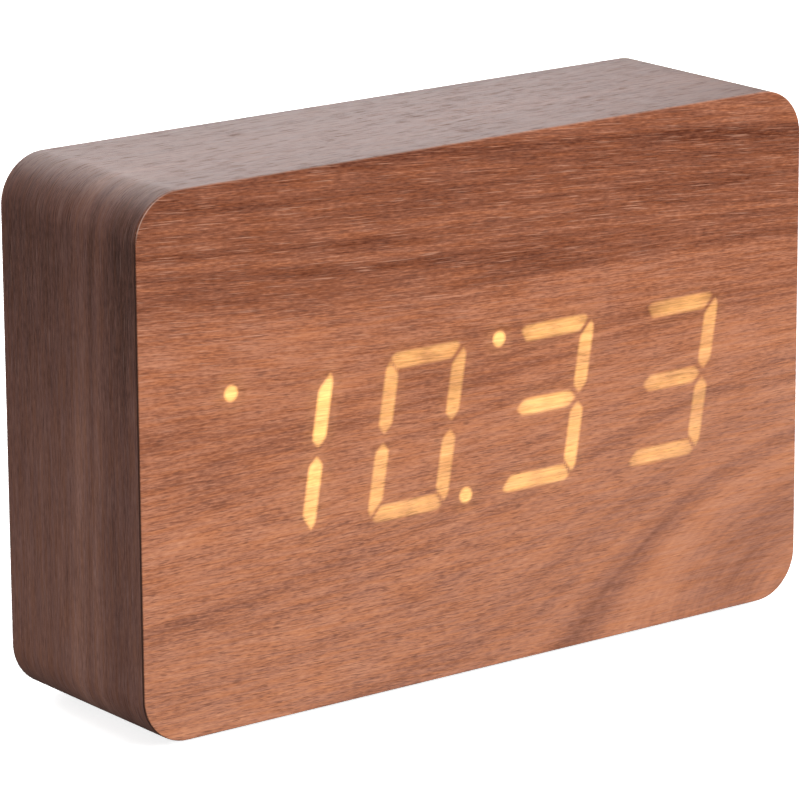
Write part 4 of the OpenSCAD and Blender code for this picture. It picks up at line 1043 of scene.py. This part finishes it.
def dish_depth(z, keys):
    """How far a key's dish lies below its rim, at heights from the key's middle: a cylinder along X that
    meets the cap's long edges, so the root of the squared radius less the squared height, less its value
    there."""
    rim = math.sqrt(keys.dish_radius ** 2 - (keys.cap_height / 2) ** 2)
    return np.sqrt(keys.dish_radius ** 2 - z ** 2) - rim


class CLOCK_OT_keys(bpy.types.Operator):
    """Moulds the three keys with their rounded edges and dished tops"""
    bl_idname = "clock.keys"
    bl_label = "Keys"

    def execute(self, context):
        keys = context.scene.clock_keys
        half_w, half_h = keys.cap_width / 2, keys.cap_height / 2
        # The cap's round edge, and rings that close in over the dish
        out, back = quarter_round(keys.edge_radius, steps=5)
        close = np.linspace(keys.edge_radius, half_h - SLOT_HALF, DISH_RINGS)[1:]
        top_in = np.concatenate([(keys.edge_radius - out)[::-1], close])
        drop = np.concatenate([back[::-1], np.zeros_like(close)])
        round_in = np.clip(keys.cap_radius - top_in, LEAST_RADIUS, None)
        for name in KEY_MARKS:
            collar_w, collar_h, middle, (post_y, rim_y) = seen_box(f"{name}_key")
            collar_front = rim_y - keys.cap_rise - keys.collar
            collar_back = collar_front + keys.collar
            # From the front: the post, the collar, and the cap's wall, edge and dish
            size_w, size_h = (np.concatenate([[keys.post_radius] * 2, [collar] * 2, [half], half - top_in])
                              for collar, half in ((collar_w, half_w), (collar_h, half_h)))
            radius = np.concatenate([[keys.post_radius] * 2, [keys.cap_radius] * 3, round_in])
            level = np.concatenate([[post_y, collar_front, collar_front, collar_back, collar_back],
                                    np.full_like(top_in, rim_y)])
            points = rings(size_w, size_h, radius, level, middle, KEY_STEPS)
            top = points[-len(top_in):]
            top[..., 1] = rim_y - dish_depth(top[..., 2] - middle[1], keys) - drop[:, None]
            add_piece(f"{name}_key_cap", points, capped_faces(*points.shape[:2]),
                      bpy.data.materials["key_plastic"], f"{name}_button", [f"{name}_key"])
        return {"FINISHED"}


class CLOCK_OT_key_marks(bpy.types.Operator):
    """Raises a painted mark in the dish of each key"""
    bl_idname = "clock.key_marks"
    bl_label = "Key marks"

    def execute(self, context):
        keys = context.scene.clock_keys
        paint = moulded(*MARK_PAINT)
        bevel = BEVEL_SHARE * keys.mark_rise
        # Rings from inside the cap up the wall and over the bevel
        shrink = np.array([0.0, 0.0, bevel])[:, None, None]
        rise = np.array([MARK_ROOT, keys.mark_rise - bevel, keys.mark_rise])[:, None]
        for name, (corners, start) in KEY_MARKS.items():
            _, _, (middle_x, middle_z), (_, rim_y) = seen_box(f"{name}_key")
            # An arc round each corner; the arcs together make one turn
            pointed = corners > 1
            reach, radius = 0.0, DOT_SHARE * keys.mark_reach
            if pointed:
                reach, radius = keys.mark_reach, keys.mark_round
            step = np.arange(corners)[:, None]
            sweep = np.linspace(-0.5, 0.5, MARK_STEPS // corners + 1, endpoint=pointed)[None, :]
            corner, turn = (np.radians(start + 360.0 / corners * part) for part in (step, step + sweep))
            x, z = ((reach * wave(corner) + (radius - shrink) * wave(turn)).reshape(len(rise), -1)
                    for wave in (np.cos, np.sin))
            y = rim_y - dish_depth(z, keys) + rise
            points = np.stack([x + middle_x, y, z + middle_z], -1)
            add_piece(f"{name}_key_mark", points, capped_faces(*x.shape), paint, f"{name}_button",
                      [])
        return {"FINISHED"}


# Half the floor's width and the light that it gives by itself
FLOOR_REACH, FLOOR_LIGHT = 6.0, 0.75
# Heights of a direction between which the room turns from table to sky
HORIZON = (-0.35, 0.25)
# Lamps: place and size in metres, and whether they show in gloss
LAMPS = {
    "key": ((0.9, -1.4, 0.8), (1.2, 0.9), False),
    "top": ((-0.1, 0.9, 1.4), (1.0, 0.8), True),
    "back": ((0.62, 1.8, 0.75), (1.8, 1.2), True),
    "rear": ((0.2, 1.6, 0.45), (0.9, 0.5), False),
    "fill": ((-1.2, -0.25, 0.12), (0.8, 0.5), False),
}
SENSOR_MM = 36.0


class CLOCK_OT_stage(bpy.types.Operator):
    """Sets up the floor, the light and the camera"""
    bl_idname = "clock.stage"
    bl_label = "Stage"

    def execute(self, context):
        scene, stage = context.scene, context.scene.clock_stage
        self.floor(scene)
        self.room(scene, stage)
        for name, (place, size, gloss) in LAMPS.items():
            self.lamp(scene, f"{name}_lamp", place, size, getattr(stage, f"{name}_power"), gloss)
        self.camera(scene, stage)
        return {"FINISHED"}

    def floor(self, scene):
        """A pale flat floor."""
        finish = Finish("floor_paper", Specular_IOR_Level=0.2, Emission_Color=WHITE,
                        Emission_Strength=FLOOR_LIGHT)
        fine = finish.mottle(grain_mm=50.0)
        finish.tinted(fine, dark=(0.84, 0.84, 0.84), pale=(0.86, 0.86, 0.86))
        finish.dulled(fine, roughness=0.85, reach=0.05)
        corners = [(x * FLOOR_REACH, y * FLOOR_REACH, 0) for x, y in ((-1, -1), (1, -1), (1, 1), (-1, 1))]
        mesh = bpy.data.meshes.new("floor")
        mesh.from_pydata(corners, [], [(0, 1, 2, 3)])
        mesh.materials.append(finish.material)
        floor = bpy.data.objects.new("floor", mesh)
        scene.collection.objects.link(floor)
        floor.visible_glossy = floor.visible_diffuse = False
        floor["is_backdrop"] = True

    def room(self, scene, stage):
        """A white room: the camera sees it white, and it lights the clock with the sky's brightness above and
        with a dark table below."""
        world = bpy.data.worlds.new("white_room")
        world.use_nodes = True
        room = Nodes(world.node_tree)
        seen, end = (room.tree.nodes[name] for name in ("Background", "World Output"))
        up = room.node("SeparateXYZ", {0: room.node("TexCoord").outputs["Generated"]}).outputs["Z"]
        span = room.node("MapRange", {"Value": up, "From Min": HORIZON[0], "From Max": HORIZON[1],
                                      "To Min": stage.table, "To Max": stage.sky})
        lit = room.node("Background", {"Color": WHITE, "Strength": span.outputs["Result"]})
        room.feed(seen.inputs["Color"], WHITE)
        to_camera = room.node("LightPath").outputs["Is Camera Ray"]
        mix = room.node("MixShader", {0: to_camera, 1: lit.outputs[0], 2: seen.outputs[0]})
        room.feed(end.inputs["Surface"], mix.outputs[0])
        scene.world = world
        scene.view_settings.view_transform = "Standard"

    def lamp(self, scene, name, place, size, watts, gloss):
        """A soft rectangular lamp that faces the middle of the clock; without gloss it gives no sheen."""
        data = bpy.data.lights.new(name, "AREA")
        data.shape, data.size, data.size_y, data.energy = "RECTANGLE", *size, watts
        lamp = bpy.data.objects.new(name, data)
        lamp.location = place
        lo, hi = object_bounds()
        lamp.rotation_euler = ((lo + hi) / 2 - lamp.location).to_track_quat("-Z", "Y").to_euler()
        lamp.visible_camera, lamp.visible_glossy = False, gloss
        scene.collection.objects.link(lamp)

    def camera(self, scene, stage):
        """The camera looks along its azimuth and elevation, rolls about that line, and stands so that the
        middle of the clock falls aside of the picture's middle by the aim."""
        a, e, t = stage.azimuth, stage.elevation, stage.roll
        back = np.array([math.sin(a) * math.cos(e), -math.cos(a) * math.cos(e), math.sin(e)])
        right = np.array([math.cos(a), math.sin(a), 0.0])
        up = np.cross(back, right)
        right, up = right * math.cos(t) + up * math.sin(t), up * math.cos(t) - right * math.sin(t)
        aim = np.array([0.0, 0.0, stage.aim_height])
        data = bpy.data.cameras.new("camera")
        data.sensor_width, data.lens = SENSOR_MM, stage.lens
        data.clip_start, data.clip_end = 0.05, 50.0
        camera = bpy.data.objects.new("camera", data)
        place = np.eye(4)
        place[:3, 0], place[:3, 1], place[:3, 2] = right, up, back
        place[:3, 3] = aim + stage.distance * back - stage.aim_x * right - stage.aim_y * up
        camera.matrix_world = place.T.tolist()
        scene.collection.objects.link(camera)
        scene.camera = camera


OPERATORS = (CLOCK_OT_stage, CLOCK_OT_finishes, CLOCK_OT_front_sheet, CLOCK_OT_wrap_band, CLOCK_OT_rear_rim,
             CLOCK_OT_keys, CLOCK_OT_key_marks)


class CLOCK_PT_panel(bpy.types.Panel):
    """Lists the pieces of the clock"""
    bl_idname = "CLOCK_PT_panel"
    bl_label = "Wooden alarm clock"
    bl_space_type = "VIEW_3D"
    bl_region_type = "UI"
    bl_category = "Clock"

    def draw(self, context):
        for operator in OPERATORS:
            self.layout.operator(operator.bl_idname)


def register():
    for made in (*SETTINGS.values(), *OPERATORS, CLOCK_PT_panel):
        bpy.utils.register_class(made)
    for name, group in SETTINGS.items():
        setattr(bpy.types.Scene, name, bpy.props.PointerProperty(type=group))


def unregister():
    for name in SETTINGS:
        delattr(bpy.types.Scene, name)
    for made in (CLOCK_PT_panel, *reversed(OPERATORS), *SETTINGS.values()):
        bpy.utils.unregister_class(made)


def main():
    register()
    bpy.ops.clock.stage()
    bpy.ops.clock.finishes()
    bpy.ops.clock.front_sheet()
    bpy.ops.clock.wrap_band()
    bpy.ops.clock.rear_rim()
    bpy.ops.clock.keys()
    bpy.ops.clock.key_marks()


if __name__ == "__main__":
    main()
